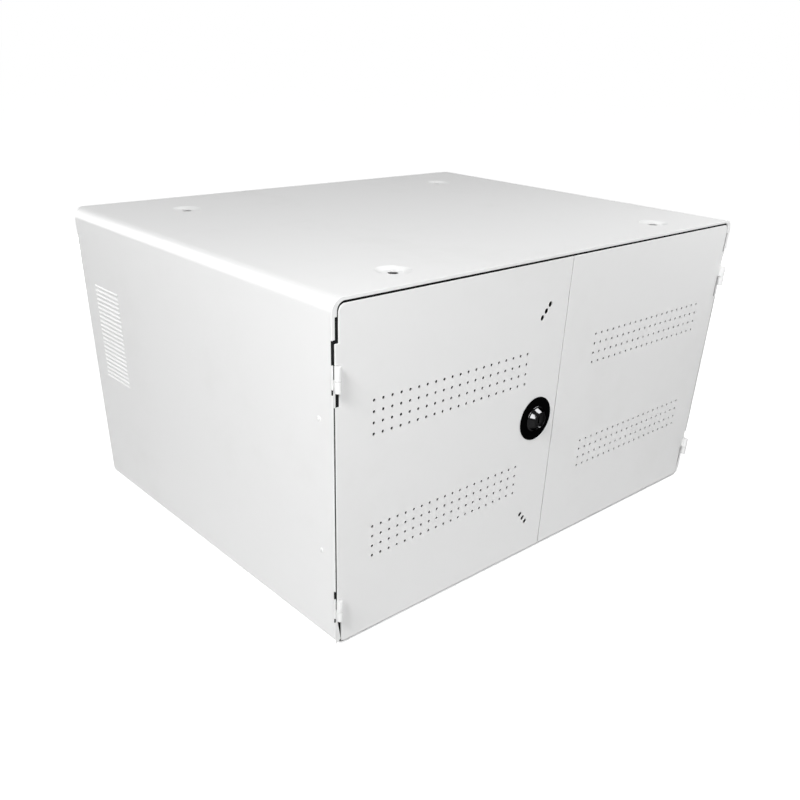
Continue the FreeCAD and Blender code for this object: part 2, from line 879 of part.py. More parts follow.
def lock_cam():
    body = new_body("lock_cam")
    blade = new_sketch(body, "XY", -cam_front)
    half = d.cam_width / 2
    add_outline(blade, rectangle((-half, half), (-half, d.cam_reach), d.cam_corner))
    add_outline(blade, rectangle((-d.cam_square / 2, d.cam_square / 2), (-d.cam_square / 2, d.cam_square / 2)))
    pad(body, blade, d.cam_thickness, reverse=True)
    to_lock(body)


def lock_cam_screw():
    seat = -cam_front - d.cam_thickness
    shank = cylinder(d.cam_screw_radius, d.cam_screw_depth, 0, 0, seat)
    head = cylinder(d.cam_screw_head_radius, d.cam_screw_head, 0, 0, seat - d.cam_screw_head)
    to_lock(node(fuse(shank, head), "lock_cam_screw"))


# Heights along a slide bolt, from the strike face of its rail towards the middle of the door
lug_outer = -d.lug_drop
lug_clear = d.bolt_travel + d.peg_radius * 2 + d.peg_play * 2
lug_inner = lug_outer - d.lug_height * 2 - lug_clear


def to_rail(thing, direction):
    # Turns a piece drawn for the upper rail over to the lower one where needed.
    level = roof_inside - d.rail_drop if direction > 0 else floor_inside + d.rail_drop
    place(thing, d.bolt_inset, bolt_y, level, axis_y, 0 if direction > 0 else 180)


def bolt_guide(place_name, direction):
    body = new_body("bolt_guide_" + place_name)
    half = d.bolt_radius + d.lug_wall
    seat = front + d.door_skin - bolt_y
    plate = new_sketch(body, "XZ", seat)
    add_outline(plate, rectangle((-half, half), (lug_inner, lug_outer)))
    pad(body, plate, d.rail_skin, reverse=True)
    lugs = new_sketch(body, "YZ")
    for start in (lug_inner, lug_outer - d.lug_height):
        add_outline(lugs, rectangle((seat, half), (start, start + d.lug_height)))
    pad(body, lugs, half * 2, symmetric=True)
    bore = new_sketch(body, "XY", lug_outer)
    add_circle(bore, 0, 0, d.bolt_radius + d.running_fit)
    pocket(body, bore, lug_outer - lug_inner)
    to_rail(body, direction)


def slide_bolt(place_name, direction):
    tail = lug_inner - d.bolt_travel - d.peg_play
    rod = cylinder(d.bolt_radius, -d.bolt_rest - tail, 0, 0, tail)
    peg_z = lug_inner + d.lug_height + d.peg_play + d.peg_radius
    peg = cylinder(d.peg_radius, d.peg_length, 0, 0, peg_z, "y")
    to_rail(node(fuse(rod, peg), "slide_bolt_" + place_name), direction)


screw_line = d.skin + d.frame_width / 2
corner_line = screw_line + inner_bend
panel_screw_places = [(x, z) for x in (screw_line - side, side - screw_line)
                      for z in (base + corner_line, top - corner_line)]
panel_screw_places += [(as_size(0), z) for z in (base + screw_line, top - screw_line)]


def rear_frame():
    # A flange inside the tube that the back panel is screwed to.
    body = new_body("rear_frame")
    ring = new_sketch(body, "XZ", frame_front)
    add_outline(ring, tube_outline(d.skin, d.corner_relief))
    add_outline(ring, tube_outline(d.skin + d.frame_width, d.frame_width))
    pad(body, ring, d.skin, reverse=True)
    holes = new_sketch(body, "XZ", frame_front)
    for x, z in panel_screw_places:
        add_circle(holes, x, z, d.screw_radius + d.running_fit)
    pocket(body, holes, d.skin)


def back_panel():
    body = new_body("back_panel")
    plate = new_sketch(body, "XZ", panel_front)
    add_outline(plate, tube_outline(d.skin, d.corner_relief))
    pad(body, plate, d.skin, reverse=True)
    openings = new_sketch(body, "XZ", panel_front)
    for x, z in panel_screw_places:
        add_circle(openings, x, z, d.screw_radius + d.running_fit)
    inlet_half_x = d.inlet_body_width / 2 + d.seat_fit
    inlet_half_z = d.inlet_body_height / 2 + d.seat_fit
    add_outline(openings, rectangle((inlet_x - inlet_half_x, inlet_x + inlet_half_x),
                                    (inlet_z - inlet_half_z, inlet_z + inlet_half_z)))
    switch_half_x = d.switch_body_width / 2 + d.seat_fit
    switch_half_z = d.switch_body_height / 2 + d.seat_fit
    add_outline(openings, rectangle((switch_x - switch_half_x, switch_x + switch_half_x),
                                    (inlet_z - switch_half_z, inlet_z + switch_half_z)))
    for way in (-1, 1):
        add_circle(openings, inlet_x + d.inlet_screw_spread * way, inlet_z, d.screw_radius + d.running_fit)
    pocket(body, openings, d.skin)


def screw(x, y, z, grip):
    # A pan-head screw driven forward, its head seated at y.
    shank = cylinder(d.screw_radius, grip, x, y - grip, z, "y")
    head = cylinder(d.screw_head_radius, d.screw_head, x, y, z, "y")
    return fuse(shank, head)


def back_panel_screws():
    grip = d.skin * 2 + d.screw_grip
    node(group([screw(x, panel_rear, z, grip) for x, z in panel_screw_places]), "back_panel_screws")


def spread(reach, count):
    # Places along X, evenly spread between two ends at the same distance from the middle.
    return [reach * (2 * k / (count - 1) - 1) for k in range(count)]


grommet_places = spread(side_inside - d.grommet_side, grommet_count)
grommet_z = top - d.grommet_drop
strip_half = side_inside - d.strip_end
strip_z = base + d.strip_rise
strip_screw_places = spread(strip_half - d.screw_head_radius * 2, 2)
outlet_places = spread(strip_half - d.outlet_end, outlet_count)
outlet_y = wall_rear + d.strip_depth / 2


def partition_wall():
    # The wall between the device bay and the rear bay, a pan with its flanges to the back.
    body = new_body("partition_wall")
    plate = new_sketch(body, "XZ", wall_front)
    add_outline(plate, tube_outline(d.skin, d.corner_relief))
    pad(body, plate, d.wall_flange, reverse=True)
    hollow = new_sketch(body, "XZ", wall_front + d.wall_flange)
    add_outline(hollow, tube_outline(d.skin + d.wall_skin, d.corner_relief))
    pocket(body, hollow, d.wall_flange - d.wall_skin, reverse=True)
    openings = new_sketch(body, "XZ", wall_front)
    for x in grommet_places:
        add_circle(openings, x, grommet_z, d.grommet_radius)
    for x in strip_screw_places:
        add_circle(openings, x, strip_z + d.strip_height / 2, d.screw_radius + d.running_fit)
    pocket(body, openings, d.wall_skin)


def cable_grommets():
    # Rubber rings round the cable holes, with a rim on each face of the wall.
    rings = []
    rim = d.grommet_rim
    for x in grommet_places:
        collar = cylinder(d.grommet_radius, d.wall_skin + rim * 2, x, wall_front - rim, grommet_z, "y")
        rims = [cylinder(d.grommet_radius + rim, rim, x, y, grommet_z, "y") for y in (wall_front - rim, wall_rear)]
        bore = cylinder(d.grommet_bore, d.wall_skin + rim * 2, x, wall_front - rim, grommet_z, "y")
        rings.append(cut(fuse(collar, *rims), bore))
    node(group(rings), "cable_grommets")


def power_strip():
    body = new_body("power_strip_housing")
    plan = new_sketch(body, "XY", strip_z)
    add_outline(plan, rectangle((-strip_half, strip_half), (wall_rear, wall_rear + d.strip_depth)))
    pad(body, plan, d.strip_height)
    skin = d.strip_skin
    hollow = new_sketch(body, "XY", strip_z)
    add_outline(hollow, rectangle((skin - strip_half, strip_half - skin),
                                  (wall_rear + skin, wall_rear + d.strip_depth - skin)))
    pocket(body, hollow, d.strip_height - skin, reverse=True)
    opening = new_sketch(body, "XY", strip_z + d.strip_height)
    reach = d.outlet_size / 2 + d.running_fit
    add_outline(opening, rectangle((outlet_places[0] - reach, outlet_places[0] + reach),
                                   (outlet_y - reach, outlet_y + reach)))
    first = pocket(body, opening, skin)
    pattern(body, first, ("X", outlet_places[1] - outlet_places[0], outlet_count))
    holes = new_sketch(body, "XZ", wall_rear)
    for x in strip_screw_places:
        add_circle(holes, x, strip_z + d.strip_height / 2, d.screw_radius + d.running_fit)
    pocket(body, holes, skin)


def power_strip_outlets():
    # Blocks with shuttered pin holes, held under the strip's top by a flange.
    blocks = []
    face = strip_z + d.strip_height
    half = d.outlet_size / 2
    for x in outlet_places:
        block = box((x - half, x + half), (outlet_y - half, outlet_y + half), (face - d.outlet_depth, face))
        pins = [cylinder(d.outlet_pin_radius, d.outlet_recess, x + d.outlet_pin_spread * way, outlet_y,
                         face - d.outlet_recess) for way in (-1, 1)]
        flange = box((x - half - d.strip_skin, x + half + d.strip_skin),
                     (outlet_y - half - d.strip_skin, outlet_y + half + d.strip_skin),
                     (face - d.strip_skin * 2, face - d.strip_skin))
        blocks.append(cut(fuse(block, flange), fuse(*pins)))
    node(group(blocks), "power_strip_outlets")


def power_strip_screws():
    # Driven backwards through the wall into the strip's ends.
    screws = []
    for x in strip_screw_places:
        z = strip_z + d.strip_height / 2
        grip = d.wall_skin + d.strip_skin + d.screw_grip
        shank = cylinder(d.screw_radius, grip, x, wall_front, z, "y")
        head = cylinder(d.screw_head_radius, d.screw_head, x, wall_front - d.screw_head, z, "y")
        screws.append(fuse(shank, head))
    node(group(screws), "power_strip_screws")


def centred(x, half_x, z, half_z):
    return rectangle((x - half_x, x + half_x), (z - half_z, z + half_z))


def mains_inlet():
    # A three-pin appliance inlet with its flange on the back panel.
    body = new_body("mains_inlet")
    flange = new_sketch(body, "XZ", panel_rear)
    add_outline(flange, centred(inlet_x, d.inlet_flange_width / 2, inlet_z, d.inlet_flange_height / 2))
    pad(body, flange, d.inlet_flange, reverse=True)
    block = new_sketch(body, "XZ", panel_rear)
    add_outline(block, centred(inlet_x, d.inlet_body_width / 2, inlet_z, d.inlet_body_height / 2))
    pad(body, block, d.inlet_body_depth)
    mouth = new_sketch(body, "XZ", panel_rear + d.inlet_flange)
    add_outline(mouth, centred(inlet_x, d.inlet_body_width / 2 - d.inlet_wall,
                               inlet_z, d.inlet_body_height / 2 - d.inlet_wall))
    pocket(body, mouth, d.inlet_cavity, reverse=True)
    holes = new_sketch(body, "XZ", panel_rear)
    for way in (-1, 1):
        add_circle(holes, inlet_x + d.inlet_screw_spread * way, inlet_z, d.screw_radius + d.running_fit)
    pocket(body, holes, d.inlet_flange)


def inlet_contacts():
    blades = []
    floor = panel_rear + d.inlet_flange - d.inlet_cavity
    for x, z in ((-d.blade_spread, -d.blade_rise), (as_size(0), d.blade_rise), (d.blade_spread, -d.blade_rise)):
        blade_x = inlet_x + x - d.blade_width / 2
        blade_z = inlet_z + z - d.blade_height / 2
        blades.append(box((blade_x, blade_x + d.blade_width), (floor, floor + d.blade_length),
                          (blade_z, blade_z + d.blade_height)))
    node(group(blades), "inlet_contacts")


def inlet_screws():
    grip = d.inlet_flange + d.skin + d.screw_grip
    seat = panel_rear + d.inlet_flange
    node(group([screw(inlet_x + d.inlet_screw_spread * way, seat, inlet_z, grip) for way in (-1, 1)]),
         "inlet_screws")


rocker_y = panel_rear + d.switch_bezel / 2


def switch_housing():
    body = new_body("switch_housing")
    bezel = new_sketch(body, "XZ", panel_rear)
    add_outline(bezel, centred(switch_x, d.switch_bezel_width / 2, inlet_z, d.switch_bezel_height / 2))
    pad(body, bezel, d.switch_bezel, reverse=True)
    block = new_sketch(body, "XZ", panel_rear)
    add_outline(block, centred(switch_x, d.switch_body_width / 2, inlet_z, d.switch_body_height / 2))
    pad(body, block, d.switch_body_depth)
    mouth = new_sketch(body, "XZ", panel_rear + d.switch_bezel)
    add_outline(mouth, centred(switch_x, d.switch_body_width / 2 - d.switch_wall,
                               inlet_z, d.rocker_reach + d.rocker_swing))
    pocket(body, mouth, d.switch_body_depth, reverse=True)
    pivot = new_sketch(body, "YZ", switch_x)
    add_circle(pivot, rocker_y, inlet_z, d.rocker_pin_radius + d.running_fit)
    pocket(body, pivot, d.switch_body_width, symmetric=True)


def switch_rocker():
    # Drawn level about its pivot, then tilted to the off position.
    body = new_body("switch_rocker")
    half = d.switch_body_width / 2 - d.switch_wall - d.rocker_play
    profile = new_sketch(body, "YZ")
    add_outline(profile, [
        (d.rocker_tip - d.rocker_depth, -d.rocker_waist),
        (d.rocker_tip, -d.rocker_reach),
        (d.rocker_tip - d.rocker_dip, 0),
        (d.rocker_tip, d.rocker_reach),
        (d.rocker_tip - d.rocker_depth, d.rocker_waist),
    ])
    pad(body, profile, half * 2, symmetric=True)
    pivot = new_sketch(body, "YZ")
    add_circle(pivot, 0, 0, d.rocker_pin_radius)
    pad(body, pivot, d.switch_body_width - d.switch_wall / 2, symmetric=True)
    place(body, switch_x, rocker_y, inlet_z, axis_x, 1)
    bind(body, "Placement.Rotation.Angle", d.rocker_tilt)


def stacking_foot(name, x, y):
    # A rubber foot whose tread drops into the dish of a cabinet below.
    body = new_body(name)
    web = d.foot_height - d.foot_web
    revolve(body, [
        (d.foot_recess_radius, 0),
        (d.foot_tread_radius, 0),
        (d.foot_radius, d.foot_taper),
        (d.foot_radius, d.foot_height),
        (d.foot_screw_radius + d.seat_fit, d.foot_height),
        (d.foot_screw_radius + d.seat_fit, web),
        (d.foot_recess_radius, web),
    ])
    place(body, x, y, 0)


def foot_screws():
    screws = []
    web = d.foot_height - d.foot_web
    for x, y in stack_places:
        end = floor_inside + d.foot_nut + d.foot_screw_stand
        shank = cylinder(d.foot_screw_radius, end - web, x, y, web)
        head = cylinder(d.foot_screw_head_radius, d.foot_screw_head, x, y, web - d.foot_screw_head)
        screws.append(fuse(shank, head))
    node(group(screws), "foot_screws")


def foot_nuts():
    nuts = []
    for x, y in stack_places:
        blank = prism(d.foot_nut_flat, d.foot_nut, x, y, floor_inside)
        thread = cylinder(d.foot_screw_radius + d.running_fit, d.foot_nut, x, y, floor_inside)
        nuts.append(cut(blank, thread))
    node(group(nuts), "foot_nuts")


tray_half = side - d.bend - d.tray_side
tray_y = (stack_front + hex_corner(d.foot_nut_flat) + d.tray_clearance, wall_front)
divider_y = (tray_y[0] + d.divider_end, tray_y[1] - d.divider_end)
divider_pitch = tray_half * 2 / (divider_count + 1)


def device_tray():
    # An upturned pan over the foot nuts, slotted for the dividers.
    body = new_body("device_tray")
    plan = new_sketch(body, "XY", floor_inside)
    add_outline(plan, rectangle((-tray_half, tray_half), tray_y))
    pad(body, plan, d.tray_rise)
    skin = d.tray_skin
    hollow = new_sketch(body, "XY", floor_inside)
    add_outline(hollow, rectangle((skin - tray_half, tray_half - skin), (tray_y[0] + skin, tray_y[1] - skin)))
    pocket(body, hollow, d.tray_rise - skin, reverse=True)
    slot = new_sketch(body, "XY", tray_top)
    half = d.divider_skin / 2 + d.seat_fit
    first = divider_pitch - tray_half
    slot_y = (divider_y[0] - d.seat_fit, divider_y[1] + d.seat_fit)
    add_outline(slot, rectangle((first - half, first + half), slot_y))
    pattern(body, pocket(body, slot, skin), ("X", divider_pitch, divider_count))


def divider(number):
    # An upright plate between two devices, let through the tray to stand on the floor of the tube.
    body = new_body("divider_%d" % number)
    crown = roof_inside - d.divider_headroom
    plate = new_sketch(body, "YZ", divider_pitch * number - tray_half)
    add_outline(plate, [
        (divider_y[0], floor_inside),
        (divider_y[1], floor_inside),
        (divider_y[1], crown),
        (divider_y[0], crown, d.divider_corner),
    ])
    pad(body, plate, d.divider_skin, symmetric=True)


outer_shell()
stop_rail("top_stop_rail", roof_inside, 1)
stop_rail("bottom_stop_rail", floor_inside, -1)
door_bumpers()
for door_name, door_sign in door_sides.items():
    front_stile(door_name, door_sign)
    for hinge_name, hinge_level in hinge_levels.items():
        fixed_knuckle(door_name, door_sign, hinge_name, hinge_level)
        door_knuckle(door_name, door_sign, hinge_name, hinge_level)
    hinge_pins(door_name, door_sign)
    door_panel(door_name, door_sign)
stile_rivets()
lock_rosette()
lock_barrel()
lock_nut()
lock_plug()
lock_cam()
lock_cam_screw()
for bolt_name, bolt_direction in (("upper", 1), ("lower", -1)):
    bolt_guide(bolt_name, bolt_direction)
    slide_bolt(bolt_name, bolt_direction)
rear_frame()
back_panel()
back_panel_screws()
partition_wall()
cable_grommets()
power_strip()
power_strip_outlets()
power_strip_screws()
mains_inlet()
inlet_contacts()
inlet_screws()
switch_housing()
switch_rocker()
for foot_name, (foot_x, foot_y) in zip(("front_left_foot", "front_right_foot", "rear_left_foot", "rear_right_foot"),
                                       stack_places):
    stacking_foot(foot_name, foot_x, foot_y)
foot_screws()
foot_nuts()
device_tray()
for divider_number in range(1, divider_count + 1):
    divider(divider_number)
doc.recompute()


def check_model():
    for thing in doc.Objects:
        if "Invalid" in thing.State or "Error" in thing.State:
            raise RuntimeError("%s failed: %s" % (thing.Label, thing.State))
        if thing.TypeId == "PartDesign::Pocket" and thing.Shape.Volume >= thing.BaseFeature.Shape.Volume - 1e-3:
            raise RuntimeError("%s in %s cuts nothing" % (thing.Label, thing.getParent().Label))
    for thing in nodes:
        if thing.Shape.isNull() or not thing.Shape.isValid():
            raise RuntimeError("%s has no valid shape" % thing.Label)


check_model()
os.makedirs("parts", exist_ok=True)
for thing in nodes:
    thing.Shape.exportStep("parts/%s.step" % thing.Label)
    print("%-28s %2d solids %12.1f mm3" % (thing.Label, len(thing.Shape.Solids), thing.Shape.Volume))
print("%d nodes" % len(nodes))
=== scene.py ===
import json
import math
import bmesh
import bpy
from mathutils import Matrix, Vector


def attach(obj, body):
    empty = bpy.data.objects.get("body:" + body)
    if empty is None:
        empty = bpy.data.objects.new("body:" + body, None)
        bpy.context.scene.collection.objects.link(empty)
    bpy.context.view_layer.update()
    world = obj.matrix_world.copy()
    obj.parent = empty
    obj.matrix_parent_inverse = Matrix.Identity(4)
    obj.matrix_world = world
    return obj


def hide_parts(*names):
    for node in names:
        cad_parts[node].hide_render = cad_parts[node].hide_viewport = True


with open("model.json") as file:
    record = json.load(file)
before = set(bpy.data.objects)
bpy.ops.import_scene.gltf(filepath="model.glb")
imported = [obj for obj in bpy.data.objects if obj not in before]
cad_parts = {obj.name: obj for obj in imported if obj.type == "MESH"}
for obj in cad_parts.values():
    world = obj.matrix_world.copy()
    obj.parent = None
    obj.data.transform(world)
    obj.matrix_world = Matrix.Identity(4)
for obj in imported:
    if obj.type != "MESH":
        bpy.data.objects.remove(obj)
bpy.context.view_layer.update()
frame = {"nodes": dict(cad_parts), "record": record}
cadNodes = frame["nodes"]
slotOf = {part["node"]: part["material_slot"] for part in frame["record"]["subparts"]}
bodyOf = {node: body for body, members in frame["record"]["behaviour"]["bodies"].items() for node in members}
mm = 0.001
print("frame loaded:", len(cadNodes), "nodes")

# Cabinet sizes in millimetres, floor at 0
cabinet = {
    "side": 300, "front": -233.5, "rear": 240.5, "base": 8, "top": 344, "skin": 1.5, "bend": 12,
    "hingeUpper": 278, "hingeLower": 50, "lockX": -32, "middleZ": 176,
    "stackX": 199, "stackFront": -190.4, "stackRear": 165, "panelRear": 234.5, "wallFront": 125.5,
}
side, front, rear = cabinet["side"], cabinet["front"], cabinet["rear"]
base, top = cabinet["base"], cabinet["top"]
stackPlaces = [(x, y) for y in (cabinet["stackFront"], cabinet["stackRear"])
               for x in (-cabinet["stackX"], cabinet["stackX"])]

near, past = 2, 5           # how far cutters reach past a surface
hair = 0.01                 # what counts as lying on a surface
creaseAngle = 0.3           # radians, flatter edges aren't picked
mergeGap = 1e-6             # metres, in spun pieces
nodeMergeGap = 2e-6         # metres, in copies of CAD nodes
flatAngle = 0.4             # degrees, flatter joins in those copies are dissolved


# Selecting and editing

def release():
    if bpy.context.object and bpy.context.object.mode != "OBJECT":
        bpy.ops.object.mode_set(mode="OBJECT")
    bpy.ops.object.select_all(action="DESELECT")


def focus(piece):
    release()
    piece.select_set(True)
    bpy.context.view_layer.objects.active = piece


def edit(piece):
    focus(piece)
    bpy.ops.object.mode_set(mode="EDIT")


def pick(piece, kind, test):
    # selects what passes the test, in millimetres: a vertex or face by its place, a crease by its two ends
    bpy.ops.mesh.select_mode(type=kind)
    bpy.ops.mesh.select_all(action="DESELECT")
    mesh = bmesh.from_edit_mesh(piece.data)
    if kind == "VERT":
        found = [v for v in mesh.verts if test(v.co / mm)]
    elif kind == "EDGE":
        found = [e for e in mesh.edges
                 if e.calc_face_angle(0) > creaseAngle and test(e.verts[0].co / mm, e.verts[1].co / mm)]
    else:
        found = [f for f in mesh.faces if test(f.calc_center_median() / mm, f.normal)]
    for item in found:
        item.select_set(True)
    mesh.select_flush_mode()
    bmesh.update_edit_mesh(piece.data)


def runsBack(a, b):
    return abs(a.y - b.y) > 1


def onFace(a, b):
    return max(a.y, b.y) < front + hair


def move(x=0, y=0, z=0):
    bpy.ops.transform.translate(value=(x * mm, y * mm, z * mm))


def roundEdges(piece, test, radius, segments):
    edit(piece)
    pick(piece, "EDGE", test)
    bpy.ops.mesh.bevel(offset=radius * mm, segments=segments, affect="EDGES", clamp_overlap=False)
    release()


def finishWith(piece, kind, **settings):
    focus(piece)
    modifier = piece.modifiers.new(kind.lower(), kind)
    for name, value in settings.items():
        setattr(modifier, name, value)
    bpy.ops.object.modifier_apply(modifier=modifier.name)
    return piece


def soften(piece, width, segments=2, angle=35):
    return finishWith(piece, "BEVEL", width=width * mm, segments=segments, limit_method="ANGLE",
                      angle_limit=math.radians(angle), use_clamp_overlap=True)


def carve(piece, tool, operation="DIFFERENCE"):
    finishWith(piece, "BOOLEAN", operation=operation, object=tool, solver="EXACT")
    bpy.data.objects.remove(tool)
    return piece


def repeat(piece, count, x=0, y=0, z=0):
    return finishWith(piece, "ARRAY", count=count, use_relative_offset=False, use_constant_offset=True,
                      constant_offset_displace=(x * mm, y * mm, z * mm))


def joined(name, pieces):
    release()
    for piece in pieces:
        piece.select_set(True)
    bpy.context.view_layer.objects.active = pieces[0]
    if len(pieces) > 1:
        bpy.ops.object.join()
    pieces[0].name = name
    return pieces[0]


def placed(name):
    # puts a new primitive's place in its mesh
    bpy.ops.object.transform_apply(location=True, rotation=True, scale=True)
    bpy.context.object.name = name
    return bpy.context.object


def block(name, x, y, z):
    # a cube between pairs of ends, given in either order
    ends = [sorted(pair) for pair in (x, y, z)]
    release()
    bpy.ops.mesh.primitive_cube_add(size=1, location=[sum(pair) / 2 * mm for pair in ends],
                                    scale=[(pair[1] - pair[0]) * mm for pair in ends])
    return placed(name)


def rod(name, radius, length, x, y, z, sides, along="Y"):
    # a cylinder about its middle
    turn = {"X": (0, math.pi / 2, 0), "Y": (math.pi / 2, 0, 0), "Z": (0, 0, 0)}[along]
    release()
    bpy.ops.mesh.primitive_cylinder_add(vertices=sides, radius=radius * mm, depth=length * mm,
                                        location=(x * mm, y * mm, z * mm), rotation=turn)
    return placed(name)


def flared(name, small, large, length, x, y, z, sides):
    # a cone about its middle, its small end to the front
    release()
    bpy.ops.mesh.primitive_cone_add(vertices=sides, radius1=small * mm, radius2=large * mm, depth=length * mm,
                                    location=(x * mm, y * mm, z * mm), rotation=(-math.pi / 2, 0, 0))
    return placed(name)


def turned(name, profile, steps):
    # spins a line of (radius, height) round Z
    release()
    bpy.ops.mesh.primitive_plane_add(size=mm)
    piece = bpy.context.object
    piece.name = name
    bpy.ops.object.mode_set(mode="EDIT")
    bpy.ops.mesh.select_mode(type="VERT")
    bpy.ops.mesh.select_all(action="SELECT")
    bpy.ops.mesh.merge(type="CENTER")
    move(profile[0][0], 0, profile[0][1])
    for (r0, h0), (r1, h1) in zip(profile, profile[1:]):
        bpy.ops.mesh.extrude_vertices_move(TRANSFORM_OT_translate={"value": ((r1 - r0) * mm, 0, (h1 - h0) * mm)})
    bpy.ops.mesh.select_all(action="SELECT")
    bpy.ops.mesh.spin(steps=steps, angle=math.tau, center=(0, 0, 0), axis=(0, 0, 1))
    bpy.ops.mesh.select_all(action="SELECT")
    bpy.ops.mesh.remove_doubles(threshold=mergeGap)
    bpy.ops.mesh.normals_make_consistent(inside=False)
    release()
    return piece


def seat(piece, x, y, z, tilt=(0, 0, 0)):
    # puts a piece drawn at the origin in its place, and its place in its mesh
    focus(piece)
    piece.rotation_euler = tilt
    piece.location = (x * mm, y * mm, z * mm)
    bpy.ops.object.transform_apply(location=True, rotation=True, scale=True)
    return piece


def another(piece, x=0, y=0, z=0, mirrorX=False):
    focus(piece)
    bpy.ops.object.duplicate(linked=False)
    twin = bpy.context.object
    if mirrorX:
        twin.scale = (-1, 1, 1)
        bpy.ops.object.transform_apply(location=False, rotation=False, scale=True)
        edit(twin)
        bpy.ops.mesh.select_all(action="SELECT")
        bpy.ops.mesh.normals_make_consistent(inside=False)
    return seat(twin, x, y, z)


def settle(piece, angle=32):
    focus(piece)
    bpy.ops.object.shade_smooth_by_angle(angle=math.radians(angle))
    return finishWith(piece, "WEIGHTED_NORMAL", keep_sharp=True, weight=60)


def refined(node, width):
    # a merged copy of a CAD node with its edges broken
    release()
    piece = bpy.data.objects.new(node + "_piece", cadNodes[node].data.copy())
    bpy.context.scene.collection.objects.link(piece)
    edit(piece)
    bpy.ops.mesh.customdata_custom_splitnormals_clear()
    bpy.ops.mesh.select_all(action="SELECT")
    bpy.ops.mesh.remove_doubles(threshold=nodeMergeGap)
    bpy.ops.mesh.dissolve_limited(angle_limit=math.radians(flatAngle))
    release()
    return settle(soften(piece, width))


def install(piece, *replaced, body=None, slot=None):
    # hangs a finished piece on its body, in its finish, in place of CAD nodes
    slot = slot or slotOf[replaced[0]]
    piece.data.materials.clear()
    piece.data.materials.append(finishes[slot])
    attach(piece, body or bodyOf[replaced[0]])
    if replaced:
        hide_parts(*replaced)


# Shader maths

class Field:
    def __init__(self, tree, socket=None):
        self.tree = tree
        self.socket = socket

    def node(self, kind, settings=None, inputs=None, out=0):
        item = self.tree.nodes.new("ShaderNode" + kind)
        for name, value in (settings or {}).items():
            setattr(item, name, value)
        for name, value in (inputs or {}).items():
            if isinstance(value, Field):
                self.tree.links.new(value.socket, item.inputs[name])
            else:
                item.inputs[name].default_value = value
        return Field(self.tree, item.outputs[out])

    def maths(self, operation, first, second=0.0):
        return self.node("Math", {"operation": operation}, {0: first, 1: second})

    def __add__(self, other):
        return self.maths("ADD", self, other)

    def __sub__(self, other):
        return self.maths("SUBTRACT", self, other)

    def __mul__(self, other):
        return self.maths("MULTIPLY", self, other)

    def __rsub__(self, other):
        return self.maths("SUBTRACT", other, self)

    __radd__ = __add__
    __rmul__ = __mul__


def newFinish(name):
    material = bpy.data.materials.new(name)
    material.use_nodes = True
    tree = material.node_tree
    sheet = Field(tree)
    place = sheet.node("TexCoord", out="Object")
    return material, tree.nodes["Principled BSDF"], sheet, place


def feed(shader, name, value):
    if isinstance(value, Field):
        value.tree.links.new(value.socket, shader.inputs[name])
    else:
        shader.inputs[name].default_value = value


def noise(sheet, place, scale, detail=2.0, rough=0.5):
    return sheet.node("TexNoise", {"noise_dimensions": "3D"},
                      {"Vector": place, "Scale": scale, "Detail": detail, "Roughness": rough})


def stretched(sheet, place, scale):
    return sheet.node("Mapping", None, {"Vector": place, "Scale": scale})


def band(sheet, value, low, high):
    # 0 below low, 1 above high
    return sheet.node("MapRange", {"interpolation_type": "SMOOTHSTEP"},
                      {"Value": value, "From Min": low, "From Max": high})


def blendColour(sheet, factor, first, second):
    return sheet.node("Mix", {"data_type": "RGBA"}, {"Factor": factor, 6: (*first, 1), 7: (*second, 1)}, out=2)


def bumped(sheet, height, depth):
    # depth in millimetres
    return sheet.node("Bump", None, {"Height": height, "Distance": depth * mm, "Strength": 1.0})


# Powder coat: orange peel of about 1.2 mm, powder grain, and the clouds and smears of handling
coat = {
    "white_coat": {"tone": (0.86, 0.862, 0.86), "worn": (0.80, 0.80, 0.79), "rough": 0.31, "peel": 0.014},
    # the inside's near-black coat is partly painted shade: it darkens what shows through the door holes and slots
    "grey_coat": {"tone": (0.045, 0.046, 0.048), "worn": (0.07, 0.071, 0.073), "rough": 0.45, "peel": 0.05},
}
coatGrain = {"peel": 850, "grain": 4200, "cloud": 5.5, "smear": 38, "handled": (0.5, 0.72), "wear": 0.35,
             "handledRough": 0.1, "grainRough": 0.08, "gloss": 0.45}


def powderCoat(name):
    look = coat[name]
    material, shader, sheet, place = newFinish(name)
    peel = noise(sheet, place, coatGrain["peel"], 1.0)
    grain = noise(sheet, place, coatGrain["grain"], 0.0)
    cloud = noise(sheet, place, coatGrain["cloud"], 3.0, 0.6)
    smear = noise(sheet, place, coatGrain["smear"], 4.0, 0.65)
    handled = band(sheet, cloud * 0.7 + smear * 0.3, *coatGrain["handled"])
    feed(shader, "Base Color", blendColour(sheet, handled * coatGrain["wear"], look["tone"], look["worn"]))
    feed(shader, "Roughness",
         look["rough"] + handled * coatGrain["handledRough"] + (grain - 0.5) * coatGrain["grainRough"])
    feed(shader, "Normal", bumped(sheet, peel * 0.75 + grain * 0.25, look["peel"]))
    feed(shader, "Specular IOR Level", coatGrain["gloss"])
    return material


zinc = {"tone": (0.60, 0.61, 0.62), "shade": (0.44, 0.45, 0.48), "rough": 0.28, "relief": 0.012,
        "spangle": 420, "stain": 70, "stained": (0.45, 0.7), "streak": 3000, "drawn": (1.0, 1.0, 0.06)}


def zincPlate(name):
    material, shader, sheet, place = newFinish(name)
    spangle = noise(sheet, place, zinc["spangle"], 3.0, 0.6)
    stain = band(sheet, noise(sheet, place, zinc["stain"], 3.0), *zinc["stained"])
    streak = noise(sheet, stretched(sheet, place, zinc["drawn"]), zinc["streak"], 1.0)
    feed(shader, "Base Color", blendColour(sheet, spangle * 0.5 + stain * 0.4, zinc["tone"], zinc["shade"]))
    feed(shader, "Metallic", 1.0)
    feed(shader, "Roughness", zinc["rough"] + spangle * 0.12 + stain * 0.1)
    feed(shader, "Normal", bumped(sheet, streak * 0.6 + spangle * 0.4, zinc["relief"]))
    return material


